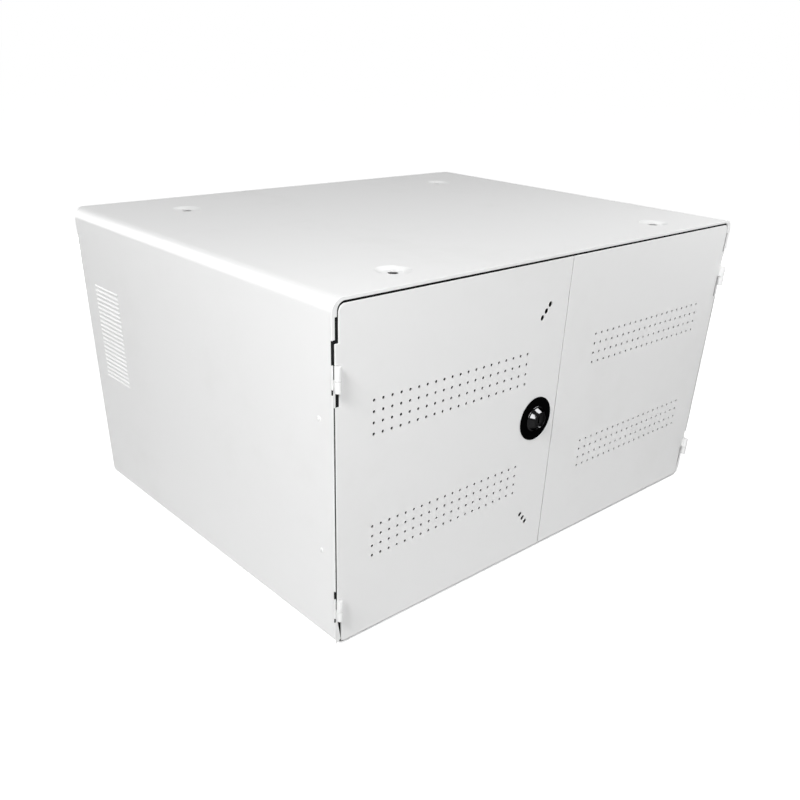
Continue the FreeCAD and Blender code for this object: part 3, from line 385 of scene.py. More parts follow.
# Dark polished chrome, with fine rings left by turning round the lock's axis
chrome = {"tone": (0.013, 0.013, 0.0133), "touched": (0.009, 0.009, 0.0093), "rim": (0.4, 0.4, 0.4), "rough": 0.08,
          "rings": 900, "relief": 0.002, "scratch": 1500, "scratched": (0.6, 0.75), "drawn": (1.0, 1.0, 0.15),
          "touch": 240, "touchBand": (0.5, 0.75)}


def turnedRings(sheet, place):
    aroundLock = sheet.node("Mapping", {"vector_type": "TEXTURE"}, {
        "Vector": place,
        "Location": (cabinet["lockX"] * mm, front * mm, cabinet["middleZ"] * mm),
        "Rotation": (math.pi / 2, 0, 0),
    })
    return sheet.node("TexWave", {"wave_type": "RINGS", "rings_direction": "Z"},
                      {"Vector": aroundLock, "Scale": chrome["rings"], "Distortion": 0.4, "Detail": 2.0,
                       "Detail Scale": 3.0})


def darkChrome(name):
    material, shader, sheet, place = newFinish(name)
    scratch = noise(sheet, stretched(sheet, place, chrome["drawn"]), chrome["scratch"], 2.0)
    touch = band(sheet, noise(sheet, place, chrome["touch"], 3.0), *chrome["touchBand"])
    feed(shader, "Base Color", blendColour(sheet, touch * 0.5, chrome["tone"], chrome["touched"]))
    feed(shader, "Metallic", 1.0)
    feed(shader, "Roughness",
         chrome["rough"] + touch * 0.08 + band(sheet, scratch, *chrome["scratched"]) * 0.06)
    feed(shader, "Normal", bumped(sheet, turnedRings(sheet, place), chrome["relief"]))
    feed(shader, "Specular Tint", (*chrome["rim"], 1))      # dark towards the rim
    return material


enamel = {"tone": (0.002, 0.002, 0.0021), "dusty": (0.006, 0.006, 0.006), "rough": 0.16, "gloss": 0.0,
          "ripple": 260, "relief": 0.01, "dust": 5200, "dustBand": (0.68, 0.8), "rub": 130, "rubBand": (0.52, 0.75)}


def glossBlack(name):
    material, shader, sheet, place = newFinish(name)
    ripple = noise(sheet, place, enamel["ripple"], 1.0)
    dust = band(sheet, noise(sheet, place, enamel["dust"], 1.0), *enamel["dustBand"])
    rub = band(sheet, noise(sheet, place, enamel["rub"], 4.0, 0.7), *enamel["rubBand"])
    feed(shader, "Base Color", blendColour(sheet, dust * 0.35, enamel["tone"], enamel["dusty"]))
    feed(shader, "Roughness", enamel["rough"] + rub * 0.12 + dust * 0.2)
    feed(shader, "Normal", bumped(sheet, ripple, enamel["relief"]))
    feed(shader, "Specular IOR Level", enamel["gloss"])
    return material


rubber = {"tone": (0.009, 0.009, 0.0095), "bloom": (0.028, 0.028, 0.027), "rough": 0.72, "gloss": 0.12,
          "grain": 2400, "relief": 0.05, "patch": 90, "patchBand": (0.5, 0.75)}


def blackRubber(name):
    material, shader, sheet, place = newFinish(name)
    grain = noise(sheet, place, rubber["grain"], 3.0, 0.7)
    bloom = band(sheet, noise(sheet, place, rubber["patch"], 4.0, 0.65), *rubber["patchBand"])
    feed(shader, "Base Color", blendColour(sheet, bloom * 0.6, rubber["tone"], rubber["bloom"]))
    feed(shader, "Roughness", rubber["rough"] + (grain - 0.5) * 0.2)
    feed(shader, "Normal", bumped(sheet, grain, rubber["relief"]))
    feed(shader, "Specular IOR Level", rubber["gloss"])
    return material


plastic = {
    "black_plastic": {"tone": (0.028, 0.028, 0.03), "rough": 0.5, "relief": 0.04},
    "rocker_plastic": {"tone": (0.02, 0.02, 0.021), "rough": 0.22, "relief": 0.006},
}
plasticGrain = {"spark": 1600, "flow": 55, "lighter": 1.5}


def mouldedPlastic(name):
    look = plastic[name]
    material, shader, sheet, place = newFinish(name)
    spark = sheet.node("TexVoronoi", {"feature": "SMOOTH_F1"}, {"Vector": place, "Scale": plasticGrain["spark"]})
    flow = noise(sheet, place, plasticGrain["flow"], 3.0)
    light = [part * plasticGrain["lighter"] for part in look["tone"]]
    feed(shader, "Base Color", blendColour(sheet, flow, look["tone"], light))
    feed(shader, "Roughness", look["rough"] + (flow - 0.5) * 0.12)
    feed(shader, "Normal", bumped(sheet, spark, look["relief"]))
    return material


brass = {"tone": (0.72, 0.53, 0.24), "tarnish": (0.45, 0.31, 0.13), "rough": 0.24, "relief": 0.006,
         "rolled": 4000, "drawn": (1.0, 0.05, 1.0), "patch": 300, "patchBand": (0.45, 0.75)}


def rolledBrass(name):
    material, shader, sheet, place = newFinish(name)
    rolled = noise(sheet, stretched(sheet, place, brass["drawn"]), brass["rolled"], 1.0)
    tarnish = band(sheet, noise(sheet, place, brass["patch"], 3.0), *brass["patchBand"])
    feed(shader, "Base Color", blendColour(sheet, tarnish * 0.6, brass["tone"], brass["tarnish"]))
    feed(shader, "Metallic", 1.0)
    feed(shader, "Roughness", brass["rough"] + tarnish * 0.15)
    feed(shader, "Normal", bumped(sheet, rolled, brass["relief"]))
    return material


makers = {
    "white_coat": powderCoat, "grey_coat": powderCoat, "bright_steel": zincPlate, "lock_chrome": darkChrome,
    "lock_black": glossBlack, "black_rubber": blackRubber, "black_plastic": mouldedPlastic,
    "rocker_plastic": mouldedPlastic, "contact_brass": rolledBrass,
}
finishes = {slot: maker(slot) for slot, maker in makers.items()}
print("finishes made:", len(finishes))


# Tube: a bent sheet with a hem at the top of its mouth, dished roof holes and slots for the side louvres
tube = {
    "bendSegments": 14, "rim": (0.55, 3), "rearRim": (0.4, 2), "smooth": 30, "hemDepth": 8, "hemOverlap": 0.5,
    "slots": [(290.6, 311), (265, 270), (63, 72), (36, 41)], "slotDepth": 1.7, "slotReach": 296.5,
    # steps of the mouth: half width, bottom, top and the radius of its corners
    "mouth": [(298.5, 9.5, 311, 10.5), (296.6, 300, 329, 0), (294.4, 300, 340.9, 8)],
    "gusset": {"reach": 293.2, "tip": 296.7, "low": 10, "rise": 4.5, "high": 36, "y": (0.3, 1.3),
               "overlap": 0.2, "edge": 0.15},
    "plateLine": {"y": (2.05, 2.3), "depth": 0.3, "spans": [(254, 330), (26, 75)]},
    # heights from the roof
    "dishVoid": [(0, 4), (18, 4), (18, 0.5), (17.4, 0.03), (16.8, -0.06), (16.2, -0.2), (15.6, -0.42),
                 (11.2, -2.02), (10.5, -2.2), (9.8, -2.29), (9, -2.3), (5.2, -2.32), (4.9, -2.4), (4.8, -2.55),
                 (4.8, -2.75), (6.3, -3.1), (6.3, -9), (0, -9)],
    "dishBowl": [(0, -0.9), (17, -0.9), (16.2, -1.6), (7.6, -3.7), (6.8, -3.8), (0, -3.8)],
    "dishSides": 64,
}
louvre = {"y": 183, "length": 57, "low": 154.2, "pitch": 5.14, "rows": 22, "gap": 0.76, "through": 1,
          "lip": 0.8, "slope": 1.7, "taper": 1.2, "root": 0.3, "edge": (0.1, 2, 15), "smooth": 12}


def longBlock(name, half, y, z, corner, which):
    # a block along the cabinet with some of its long edges rounded
    piece = block(name, (-half, half), y, z)
    if corner:
        roundEdges(piece, lambda a, b: runsBack(a, b) and which(a.z), corner, tube["bendSegments"])
    return piece


def atDishes(name, line):
    model = turned(name, line, tube["dishSides"])
    copies = [another(model, x, y, top) for x, y in stackPlaces]
    bpy.data.objects.remove(model)
    return joined(name, copies)


def makeTube():
    skin, middle = cabinet["skin"], (base + top) / 2
    inside = side - skin
    piece = longBlock("tubeShell", side, (front, rear), (base, top), cabinet["bend"], lambda z: True)
    carve(piece, longBlock("hollow", inside, (front + tube["hemDepth"], rear + past), (base + skin, top - skin),
                           cabinet["bend"] - skin, lambda z: True))
    for half, low, high, corner in tube["mouth"]:
        lower = low < middle
        carve(piece, longBlock("mouth", half, (front - past, front + tube["hemDepth"] + tube["hemOverlap"]),
                               (low, high), corner, lambda z: (z < middle) == lower))
    roundEdges(piece, onFace, *tube["rim"])
    roundEdges(piece, lambda a, b: min(a.y, b.y) > rear - hair, *tube["rearRim"])

    cuts = []
    line = tube["plateLine"]
    for sign in (-1, 1):
        outside = (side + near) * sign
        for span in tube["slots"]:
            cuts.append(block("cut", (outside, tube["slotReach"] * sign), (front - near, front + tube["slotDepth"]),
                              span))
        for span in line["spans"]:
            cuts.append(block("cut", (outside, (side - line["depth"]) * sign), [front + y for y in line["y"]], span))
    vent = block("cut", (-side - past, louvre["through"] - inside),
                 [louvre["y"] + louvre["length"] / 2 * way for way in (-1, 1)],
                 (louvre["low"] - louvre["gap"], louvre["low"]))
    repeat(vent, louvre["rows"], z=louvre["pitch"])
    cuts += [vent, another(vent, mirrorX=True)]
    carve(piece, joined("cuts", cuts))
    carve(piece, atDishes("bowl", tube["dishBowl"]), "UNION")
    carve(piece, atDishes("void", tube["dishVoid"]))
    settle(piece, tube["smooth"])

    size = tube["gusset"]
    gusset = block("gusset", (size["reach"], inside + size["overlap"]), [front + y for y in size["y"]],
                   (size["low"], size["high"]))
    edit(gusset)
    pick(gusset, "VERT", lambda p: p.x < size["reach"] + 1 and p.z > size["high"] - 1)
    move(x=size["tip"] - size["reach"])
    pick(gusset, "VERT", lambda p: p.x < size["reach"] + 1)
    move(z=size["rise"])
    release()
    settle(soften(gusset, size["edge"]))
    install(joined("tubeShell", [piece, gusset, another(gusset, mirrorX=True)]), "outer_shell")


def makeLouvres():
    half = louvre["length"] / 2
    lip = block("lip", (side - louvre["root"], side + louvre["lip"]), (louvre["y"] - half, louvre["y"] + half),
                (louvre["low"], louvre["low"] + louvre["slope"]))
    edit(lip)
    pick(lip, "VERT", lambda p: p.z > louvre["low"] + 1 and p.x > side)
    move(x=-louvre["lip"])
    pick(lip, "VERT", lambda p: p.x > side + 0.1)
    bpy.ops.transform.resize(value=(1, 1 - louvre["taper"] / half, 1), center_override=(0, louvre["y"] * mm, 0))
    release()
    soften(lip, *louvre["edge"])
    settle(lip, louvre["smooth"])
    repeat(lip, louvre["rows"], z=louvre["pitch"])
    install(joined("sideLouvres", [lip, another(lip, mirrorX=True)]), body="cabinet", slot="white_coat")


makeTube()
makeLouvres()
print("tube made")


# Doors: flat perforated sheets with a stiffening fold behind and a return lip at the middle
door = {
    "inner": 0.8, "outer": 296.8, "low": 10.8, "high": 338.8, "depth": 12, "skin": 1.2, "smooth": 30,
    "upperOuter": 292.9, "step": 307.6, "upperCorner": 6.7, "lowerCorner": 9.2, "cornerSteps": 8,
    "edge": 0.5, "middleEdge": 1.0, "edgeSteps": 3, "middleReach": 1.5, "middleLength": 50,
    "foldOuter": 291.2, "foldSpan": (16.8, 333.6), "foldStart": 0.7, "lip": 12, "lipOverlap": 0.2,
    "notch": 292.6, "notches": [(253.8, 278.2), (0, 50.2)], "cutDepth": 3, "drill": 8,
    # a hole's radius before and behind the sheet and its cutter's length; 1.4 at the door's face
    "perfCone": (1.0, 2.6, 4), "perfMiddle": 1, "perfSides": 14,
    "perfPitch": 10.5, "perfFirst": 55.8, "perfColumns": 20, "perfRows": 4, "perfLevels": (219.35, 94.75),
    "lockHole": 9.7, "lockSides": 48,
    "markRadius": 2.9, "markSides": 24, "markX": -33.5, "markStep": (5, 6), "marks": [(290.2, 1), (56.2, -1)],
}


def makeDoorSheet(name, sign):
    piece = block(name + "Door", (door["inner"] * sign, door["outer"] * sign), (front, front + door["skin"]),
                  (door["low"], door["high"]))
    carve(piece, block("step", (door["upperOuter"] * sign, (side + past) * sign),
                       (front - near, front + door["cutDepth"]), (door["step"], top + past)))
    for corner, level in (("upperCorner", door["high"]), ("lowerCorner", door["low"])):
        roundEdges(piece, lambda a, b: runsBack(a, b) and abs(a.x) > side / 3 and abs(a.z - level) < 0.1,
                   door[corner], door["cornerSteps"])

    def outermost(a, b):
        return max(abs(a.x), abs(b.x))

    roundEdges(piece, lambda a, b: onFace(a, b) and outermost(a, b) > 1, door["edge"], door["edgeSteps"])
    roundEdges(piece, lambda a, b: onFace(a, b) and outermost(a, b) < door["middleReach"]
               and abs(a.z - b.z) > door["middleLength"], door["middleEdge"], door["edgeSteps"])
    return piece


def addFold(piece, sign):
    low, high = door["foldSpan"]
    skin, back = door["skin"], front + door["depth"]
    pan = block("pan", (door["inner"] * sign, door["foldOuter"] * sign), (front + door["foldStart"], back), (low, high))
    edit(pan)
    pick(pan, "FACE", lambda p, n: n.y > 0.9)
    bpy.ops.mesh.delete(type="FACE")
    release()
    finishWith(pan, "SOLIDIFY", thickness=skin * mm, offset=-1, use_even_offset=True)
    carve(piece, pan, "UNION")
    carve(piece, block("pocket", ((door["inner"] + skin) * sign, (door["foldOuter"] - skin) * sign),
                       (front + skin, back + past), (low + skin, high - skin)))
    inset = skin - door["lipOverlap"]
    carve(piece, block("lip", (door["inner"] * sign, (door["inner"] + door["lip"]) * sign), (back - skin, back),
                       (low + inset, high - inset)), "UNION")


def makeDoor(name, sign):
    piece = makeDoorSheet(name, sign)
    addFold(piece, sign)
    cuts = [block("cut", (door["notch"] * sign, (side + past) * sign), (front - near, front + door["cutDepth"]), span)
            for span in door["notches"]]
    first = door["perfFirst"] if sign > 0 else -door["perfFirst"] - door["perfPitch"] * (door["perfColumns"] - 1)
    for level in door["perfLevels"]:
        hole = flared("hole", *door["perfCone"], first, front + door["perfMiddle"], level, door["perfSides"])
        repeat(hole, door["perfColumns"], x=door["perfPitch"])
        cuts.append(repeat(hole, door["perfRows"], z=door["perfPitch"]))
    if sign < 0:
        cuts.append(rod("hole", door["lockHole"], door["drill"], cabinet["lockX"], front, cabinet["middleZ"],
                        door["lockSides"]))
        stepX, stepZ = door["markStep"]
        for level, way in door["marks"]:
            for step in (-1, 0, 1):
                cuts.append(rod("hole", door["markRadius"], door["drill"], door["markX"] + stepX * step, front,
                                level + stepZ * step * way, door["markSides"]))
    carve(piece, joined("cuts", cuts))
    settle(piece, door["smooth"])
    install(piece, name + "_door_panel")


makeDoor("left", -1)
makeDoor("right", 1)
print("doors made")


# Lock, drawn with its height forward from the door's face
lock = {
    "rosette": [(9.7, 0), (23.7, 0), (23.7, 0.55), (23.58, 0.82), (23.3, 1), (9.7, 1), (9.7, 0)],
    "threadRadius": 9.5, "threadDepth": 0.5, "threadPitch": 1.0, "threadTop": -1.2, "sleeveEnd": 12.7, "bore": 5.56,
    "knob": [(9.5, 1), (14, 1), (14, 1.4), (13.85, 1.62), (12.6, 2.2), (12.3, 2.2), (12.15, 2.05), (12, 2.2),
             (11.45, 3.2), (10.75, 4.35), (9.95, 5.5), (9.15, 6.5), (8.85, 6.85), (8.45, 7), (8.1, 6.95),
             (7.95, 6.8), (7.9, 5.8), (7.7, 5.62), (6.6, 5.62), (6.4, 5.74), (6.2, 5.62), (5.56, 5.62)],
    "plug": [(0, -13), (5.5, -13), (5.5, 5.2), (5.3, 5.4), (3.4, 5.4), (3.2, 5.2), (0, 5.2)],
    "plugEdge": (0.12, 2, 50),
    # keyway: width, height, bottom and a top clear of the plug; tang: half width, ends; screw hole: radius, ends
    "keyway": (1.8, 7.5, 0.4, 12), "tang": (2.94, -16, -12.8), "screwHole": (2.06, -30, -10),
    "sides": {"rosette": 96, "barrel": 64, "plug": 48, "screwHole": 24}, "smooth": {"rosette": 40, "barrel": 28},
    "nutEdge": 0.5, "camEdge": 0.35,
}
toLock = (cabinet["lockX"], front, cabinet["middleZ"], (math.pi / 2, 0, 0))


def makeLock():
    sides, smooth = lock["sides"], lock["smooth"]
    rosette = settle(turned("lockRosette", lock["rosette"], sides["rosette"]), smooth["rosette"])
    install(seat(rosette, *toLock), "lock_rosette")

    inner = (lock["bore"], -lock["sleeveEnd"])
    line = [inner]
    height = -lock["sleeveEnd"]
    while height < lock["threadTop"]:
        line += [(lock["threadRadius"] - lock["threadDepth"], height),
                 (lock["threadRadius"], height + lock["threadPitch"] / 2)]
        height += lock["threadPitch"]
    line += lock["knob"] + [inner]
    barrel = settle(turned("lockBarrel", line, sides["barrel"]), smooth["barrel"])
    install(seat(barrel, *toLock), "lock_barrel")

    plug = turned("lockPlug", lock["plug"], sides["plug"])
    wide, tall, low, high = lock["keyway"]
    carve(plug, block("slit", (-wide / 2, wide / 2), (-tall / 2, tall / 2), (low, high)))
    half, low, high = lock["tang"]
    carve(plug, block("tang", (-half, half), (-half, half), (low, high)), "UNION")
    radius, low, high = lock["screwHole"]
    carve(plug, rod("screwHole", radius, high - low, 0, 0, (low + high) / 2, sides["screwHole"], "Z"))
    soften(plug, *lock["plugEdge"])
    install(seat(settle(plug), *toLock), "lock_plug")
    install(refined("lock_nut", lock["nutEdge"]), "lock_nut")
    install(refined("lock_cam", lock["camEdge"]), "lock_cam")


makeLock()
print("lock made")


# Lift-off hinges, drawn at the right with the joint between the knuckles at height 0
hinge = {"x": 297, "y": -237, "radius": 3, "fixed": 10, "swing": 12.4, "gap": 0.4, "round": 0.55, "sides": 40,
         "smooth": 40, "leaf": (297, 298.5), "leafRear": -221.5, "leafEdge": (0.35, 3), "weld": (295, 297),
         "weldEdge": (0.5, 3), "tail": 24, "tailReach": 296.7, "tailOverlap": 0.2, "tailEdge": 0.2,
         # pins: how far their hidden ends are drawn in, and where these are above each joint
         "capped": 1.5, "pinEnd": (6, 40), "pinEdge": 0.3}


def knuckle(name, length):
    r, e = hinge["radius"], hinge["round"]
    line = [(0, 0), (r - e, 0), (r - e * 0.45, e * 0.12), (r - e * 0.12, e * 0.45), (r, e), (r, length - e),
            (r - e * 0.12, length - e * 0.45), (r - e * 0.45, length - e * 0.12), (r - e, length), (0, length)]
    return settle(turned(name, line, hinge["sides"]), hinge["smooth"])


def makeHinges():
    x, y, gap = hinge["x"], hinge["y"], hinge["gap"]
    fixed = seat(knuckle("fixed", hinge["fixed"]), x, y, -hinge["fixed"])
    leaf = block("leaf", hinge["leaf"], (y, hinge["leafRear"]), (-hinge["fixed"], 0))
    settle(soften(leaf, *hinge["leafEdge"]))
    tail = block("tail", (hinge["tailReach"], hinge["leaf"][1]), (front + hinge["tailOverlap"], hinge["leafRear"]),
                 (-hinge["tail"], hinge["tailOverlap"] - hinge["fixed"]))
    settle(soften(tail, hinge["tailEdge"]))
    fixed = joined("fixedKnuckle", [fixed, leaf, tail])
    swing = seat(knuckle("swing", hinge["swing"]), x, y, gap)
    weld = block("weld", hinge["weld"], (y, front), (gap, gap + hinge["swing"]))
    settle(soften(weld, *hinge["weldEdge"]))
    swing = joined("swingKnuckle", [swing, weld])
    for name, flip in (("left", True), ("right", False)):
        for place, level in (("upper", cabinet["hingeUpper"]), ("lower", cabinet["hingeLower"])):
            for part, node in ((fixed, "%s_%s_fixed_knuckle" % (name, place)),
                               (swing, "%s_door_%s_knuckle" % (name, place))):
                twin = another(part, z=level, mirrorX=flip)
                twin.name = node + "_piece"
                install(twin, node)
    bpy.data.objects.remove(fixed)
    bpy.data.objects.remove(swing)
    low, high = hinge["pinEnd"]
    for name in ("left", "right"):
        pins = refined(name + "_hinge_pins", hinge["pinEdge"])
        edit(pins)
        pick(pins, "VERT", lambda p: p.z > cabinet["hingeUpper"] + low or low < p.z - cabinet["hingeLower"] < high)
        move(z=-hinge["capped"])
        release()
        install(pins, name + "_hinge_pins")


makeHinges()
print("hinges made")


# Rivets through the sides and the stiles
rivet = {"y": -214.5, "levels": (109, 239), "stem": 1.6, "stemSides": 20, "inside": 296.2, "sides": 28, "smooth": 45,
         "head": [(0, 0.1), (0.7, 0.1), (0.8, 0.68), (1.0, 0.79), (1.3, 0.8), (1.9, 0.66), (2.35, 0.4),
                  (2.65, 0.1), (2.7, 0), (0, 0)]}


def makeRivets():
    head = turned("head", rivet["head"], rivet["sides"])
    heads = []
    for sign in (-1, 1):
        for level in rivet["levels"]:
            for x, way in ((side, sign), (rivet["inside"], -sign)):
                heads.append(seat(another(head), x * sign, rivet["y"], level, (0, way * math.pi / 2, 0)))
            heads.append(rod("stem", rivet["stem"], side - rivet["inside"], (side + rivet["inside"]) / 2 * sign,
                             rivet["y"], level, rivet["stemSides"], "X"))
    bpy.data.objects.remove(head)
    install(settle(joined("stileRivets", heads), rivet["smooth"]), "stile_rivets")


# Pan-head screws with a cross recess
panHead = {"dome": [(0, 2.4), (1.2, 2.36), (2.3, 2.15), (3.1, 1.7), (3.7, 1.0), (4, 0.3), (4, 0)], "shank": 2,
           "slot": (0.95, 4.4, 1.3), "sides": 32, "edge": 0.08, "edgeAngle": 45, "smooth": 35}
screws = {
    "panelX": 288.5, "panelZ": (30, 322), "panelMiddleZ": (19.5, 332.5), "panelShank": 6,
    "inletX": (185, 225), "inletY": 2.5, "inletZ": 78, "inletShank": 7,
    "stripX": 222, "stripZ": 137, "stripShank": 5.7,
    "footZ": 5, "footShank": 11, "footSize": 1.3, "footNutEdge": 0.4,
    "camY": 16, "camShank": 6,
}


def makeScrew(shank, size=1.0):
    # its seat at height 0 and its shank below
    thick = panHead["shank"] * size
    line = [(r * size, h * size) for r, h in panHead["dome"]] + [(thick, 0), (thick, -shank), (0, -shank)]
    piece = turned("screw", line, panHead["sides"])
    wide, reach, deep = [value * size for value in panHead["slot"]]
    crown = panHead["dome"][0][1] * size
    for a, b in ((wide, reach), (reach, wide)):
        carve(piece, block("cross", (-a / 2, a / 2), (-b / 2, b / 2), (crown - deep, crown + near)))
    return settle(soften(piece, panHead["edge"] * size, angle=panHead["edgeAngle"]), panHead["smooth"])


def placeScrews(node, screw, places, tilt):
    copies = [seat(another(screw), *place, tilt) for place in places]
    bpy.data.objects.remove(screw)
    install(joined(node + "_piece", copies), node)


def makeFasteners():
    forward, backward, downward = (math.pi / 2, 0, 0), (-math.pi / 2, 0, 0), (math.pi, 0, 0)    # where heads point
    panelY = cabinet["panelRear"]
    panel = [(x, panelY, z) for x in (-screws["panelX"], screws["panelX"]) for z in screws["panelZ"]]
    panel += [(0, panelY, z) for z in screws["panelMiddleZ"]]
    placeScrews("back_panel_screws", makeScrew(screws["panelShank"]), panel, backward)
    placeScrews("inlet_screws", makeScrew(screws["inletShank"]),
                [(x, panelY + screws["inletY"], screws["inletZ"]) for x in screws["inletX"]], backward)
    placeScrews("power_strip_screws", makeScrew(screws["stripShank"]),
                [(x, cabinet["wallFront"], screws["stripZ"]) for x in (-screws["stripX"], screws["stripX"])], forward)
    placeScrews("foot_screws", makeScrew(screws["footShank"], screws["footSize"]),
                [(x, y, screws["footZ"]) for x, y in stackPlaces], downward)
    placeScrews("lock_cam_screw", makeScrew(screws["camShank"]),
                [(cabinet["lockX"], front + screws["camY"], cabinet["middleZ"])], backward)
    install(refined("foot_nuts", screws["footNutEdge"]), "foot_nuts")


foot = {"sides": 64, "smooth": 40,
        "nodes": ("front_left_foot", "front_right_foot", "rear_left_foot", "rear_right_foot"),
        "line": [(7.5, 0), (7.9, 0), (10.2, 0), (10.9, 0.15), (11.5, 0.45), (18.5, 3.3), (18.9, 3.65), (19, 4.1),
                 (19, 5.2), (18.5, 5.5), (18.5, 5.9), (19, 6.2), (19, 8), (3.2, 8), (3.2, 5), (6.9, 5), (7.3, 4.9),
                 (7.5, 4.6), (7.5, 0)]}


def makeFeet():
    model = settle(turned("foot", foot["line"], foot["sides"]), foot["smooth"])
    for node, (x, y) in zip(foot["nodes"], stackPlaces):
        twin = another(model, x, y, 0)
        twin.name = node + "_piece"
        install(twin, node)
    bpy.data.objects.remove(model)


makeRivets()
makeFasteners()
makeFeet()
print("fasteners and feet made")


# Rubber inside
grommet = {"x": (-200, 0, 200), "z": 274, "sides": 48, "smooth": 40,
           "line": [(11, -2.4), (11.4, -2.9), (12, -3), (17.6, -3), (18.6, -2.6), (19, -1.8), (19, -0.4), (18.6, 0),
                    (16, 0), (16, 1.2), (18.6, 1.2), (19, 1.6), (19, 3), (18.6, 3.8), (17.6, 4.2), (12, 4.2),
                    (11.4, 4.1), (11, 3.6), (11, -2.4)]}
bumper = {"x": (-150, 150), "z": (16.5, 335.5), "y": -219.2, "sides": 32, "smooth": 40,
          "line": [(0, 2), (3.6, 1.95), (4.8, 1.75), (5.6, 1.3), (6, 0.6), (6, 0), (0, 0)]}


def makeRubber():
    ring = settle(turned("ring", grommet["line"], grommet["sides"]), grommet["smooth"])
    rings = [seat(another(ring), x, cabinet["wallFront"], grommet["z"], (-math.pi / 2, 0, 0)) for x in grommet["x"]]
    bpy.data.objects.remove(ring)
    install(joined("cableGrommets", rings), "cable_grommets")
    dome = settle(turned("dome", bumper["line"], bumper["sides"]), bumper["smooth"])
    domes = [seat(another(dome), x, bumper["y"], z, (math.pi / 2, 0, 0)) for x in bumper["x"] for z in bumper["z"]]
    bpy.data.objects.remove(dome)
    install(joined("doorBumpers", domes), "door_bumpers")


# Black foam seal behind the doors' outer edges, partly painted shade: it puts black in the gaps and fills the slots
# beside the hinges where only shade shows; it starts deeper at the right
seal = {"start": {-1: 1.9, 1: 6}, "end": 12, "inner": 291.9, "outer": 298.4, "low": 10.7, "top": 340.6, "band": 6.4,
        "lowerCorner": (6.4, 6), "upperCorner": (2.2, 4), "tabOuter": 296.4, "cornerOuter": 294.2,
        "tab": (310.6, 329.2), "leafGap": 296.4, "leaves": [(25, 51), (253, 279)], "leafDepth": 20, "edge": 0.4,
        "nub": (297.6, 299.7), "nubDepth": (1.0, 2.0), "nubPlay": 0.05, "nubEdge": 0.1}


def makeSeal():
    inner, (tabLow, tabHigh) = seal["inner"], seal["tab"]
    halves = []
    for sign in (-1, 1):
        depth = [front + y for y in (seal["start"][sign], seal["end"])]
        strips = [block("strip", (inner, seal["outer"]), depth, (seal["low"], tabLow)),
                  block("strip", (inner, seal["tabOuter"]), depth, seal["tab"]),
                  block("strip", (inner, seal["cornerOuter"]), depth, (tabHigh, seal["top"])),
                  block("strip", (0, inner), [front + y for y in (seal["start"][-1], seal["end"])],
                        (seal["top"] - seal["band"], seal["top"]))]
        roundEdges(strips[0], lambda a, b: runsBack(a, b) and a.x > inner + 1 and a.z < seal["low"] + 1,
                   *seal["lowerCorner"])
        roundEdges(strips[2], lambda a, b: runsBack(a, b) and a.x > inner + 1 and a.z > seal["top"] - 1,
                   *seal["upperCorner"])
        for span in seal["leaves"]:
            carve(strips[0], block("cut", (seal["leafGap"], side), (front, front + seal["leafDepth"]), span))
        # black rubber nubs in the left side's hinge slots, painted shade there
        slotShadeNubs = []
        if sign < 0:
            slotShadeNubs = [block("nub", seal["nub"], [front + y for y in seal["nubDepth"]],
                          (low + seal["nubPlay"], high - seal["nubPlay"])) for low, high in tube["slots"]]
        for strip in strips:
            settle(soften(strip, seal["edge"]))
        for nub in slotShadeNubs:
            settle(soften(nub, seal["nubEdge"]))
        half = joined("frontSeal", strips + slotShadeNubs)
        halves.append(half if sign > 0 else another(half, mirrorX=True))
        if sign < 0:
            bpy.data.objects.remove(half)
    install(joined("frontSeal", halves), body="cabinet", slot="black_rubber")


makeRubber()
makeSeal()
print("rubber and seal made")

# Sheet and moulded parts whose CAD shape is right, with the width of their broken edges
broken = {
    "top_stop_rail": 0.4, "bottom_stop_rail": 0.4, "left_front_stile": 0.4, "right_front_stile": 0.4,
    "rear_frame": 0.3, "back_panel": 0.4, "partition_wall": 0.4, "device_tray": 0.5,
    "power_strip_housing": 0.5, "power_strip_outlets": 0.35,
    "mains_inlet": 0.5, "inlet_contacts": 0.3, "switch_housing": 0.4, "switch_rocker": 0.4,
    "bolt_guide_upper": 0.4, "bolt_guide_lower": 0.4, "slide_bolt_upper": 0.4, "slide_bolt_lower": 0.4,
}
divider = {"count": 9, "pitch": 56.2, "edge": 0.35}


def makeInside():
    for node, width in broken.items():
        install(refined(node, width), node)
    model = refined("divider_1", divider["edge"])
    for number in range(1, divider["count"] + 1):
        twin = another(model, x=divider["pitch"] * (number - 1))
        twin.name = "divider_%d_piece" % number
        install(twin, "divider_%d" % number)
    bpy.data.objects.remove(model)


makeInside()
print("inside made")


# Floor and light, in metres: each lamp has a place, a size and a power
studio = {
    "fill": 0.055, "floorSize": 60, "floorTone": 0.6, "floorRough": 0.9, "floorLift": 0.967, "target": (0, 0, 0.17),
    # front left, front right and camera side
    "lamps": [((-1.35, -0.57, 1.31), 0.45, 20.8), ((0.47, -0.5, 0.67), 0.3, 1.55), ((-0.6, -1.15, 0.8), 0.4, 5.8)],
    # low fills for the back and the right, with no reflection of their own
    "fills": [((0.35, 1.75, 0.2), 0.4, 15), ((1.75, 0.25, 0.2), 0.4, 11.5)],
    # panels that only show as reflections: on all pieces, and on the lock alone
    "sheen": [((1.65, 1.55, 2.25), 1.5, 10), ((-1.02, 1.56, 0.62), 0.9, 7.5), ((-0.7, 1.5, 1.25), 0.5, 2.2)],
    "glints": [((-1.45, -0.95, 1.2), 1.25, 310), ((0.8, -0.6, 1.28), 1.0, 190)],
    "glintPieces": ("lockBarrel", "lockPlug"),
}


def shownRays(sheet):
    # 1 where the camera, a reflection or clear material looks
    rays = [sheet.node("LightPath", out=name) for name in ("Is Camera Ray", "Is Glossy Ray", "Is Transmission Ray")]
    return sheet.maths("MINIMUM", rays[0] + rays[1] + rays[2], 1.0)


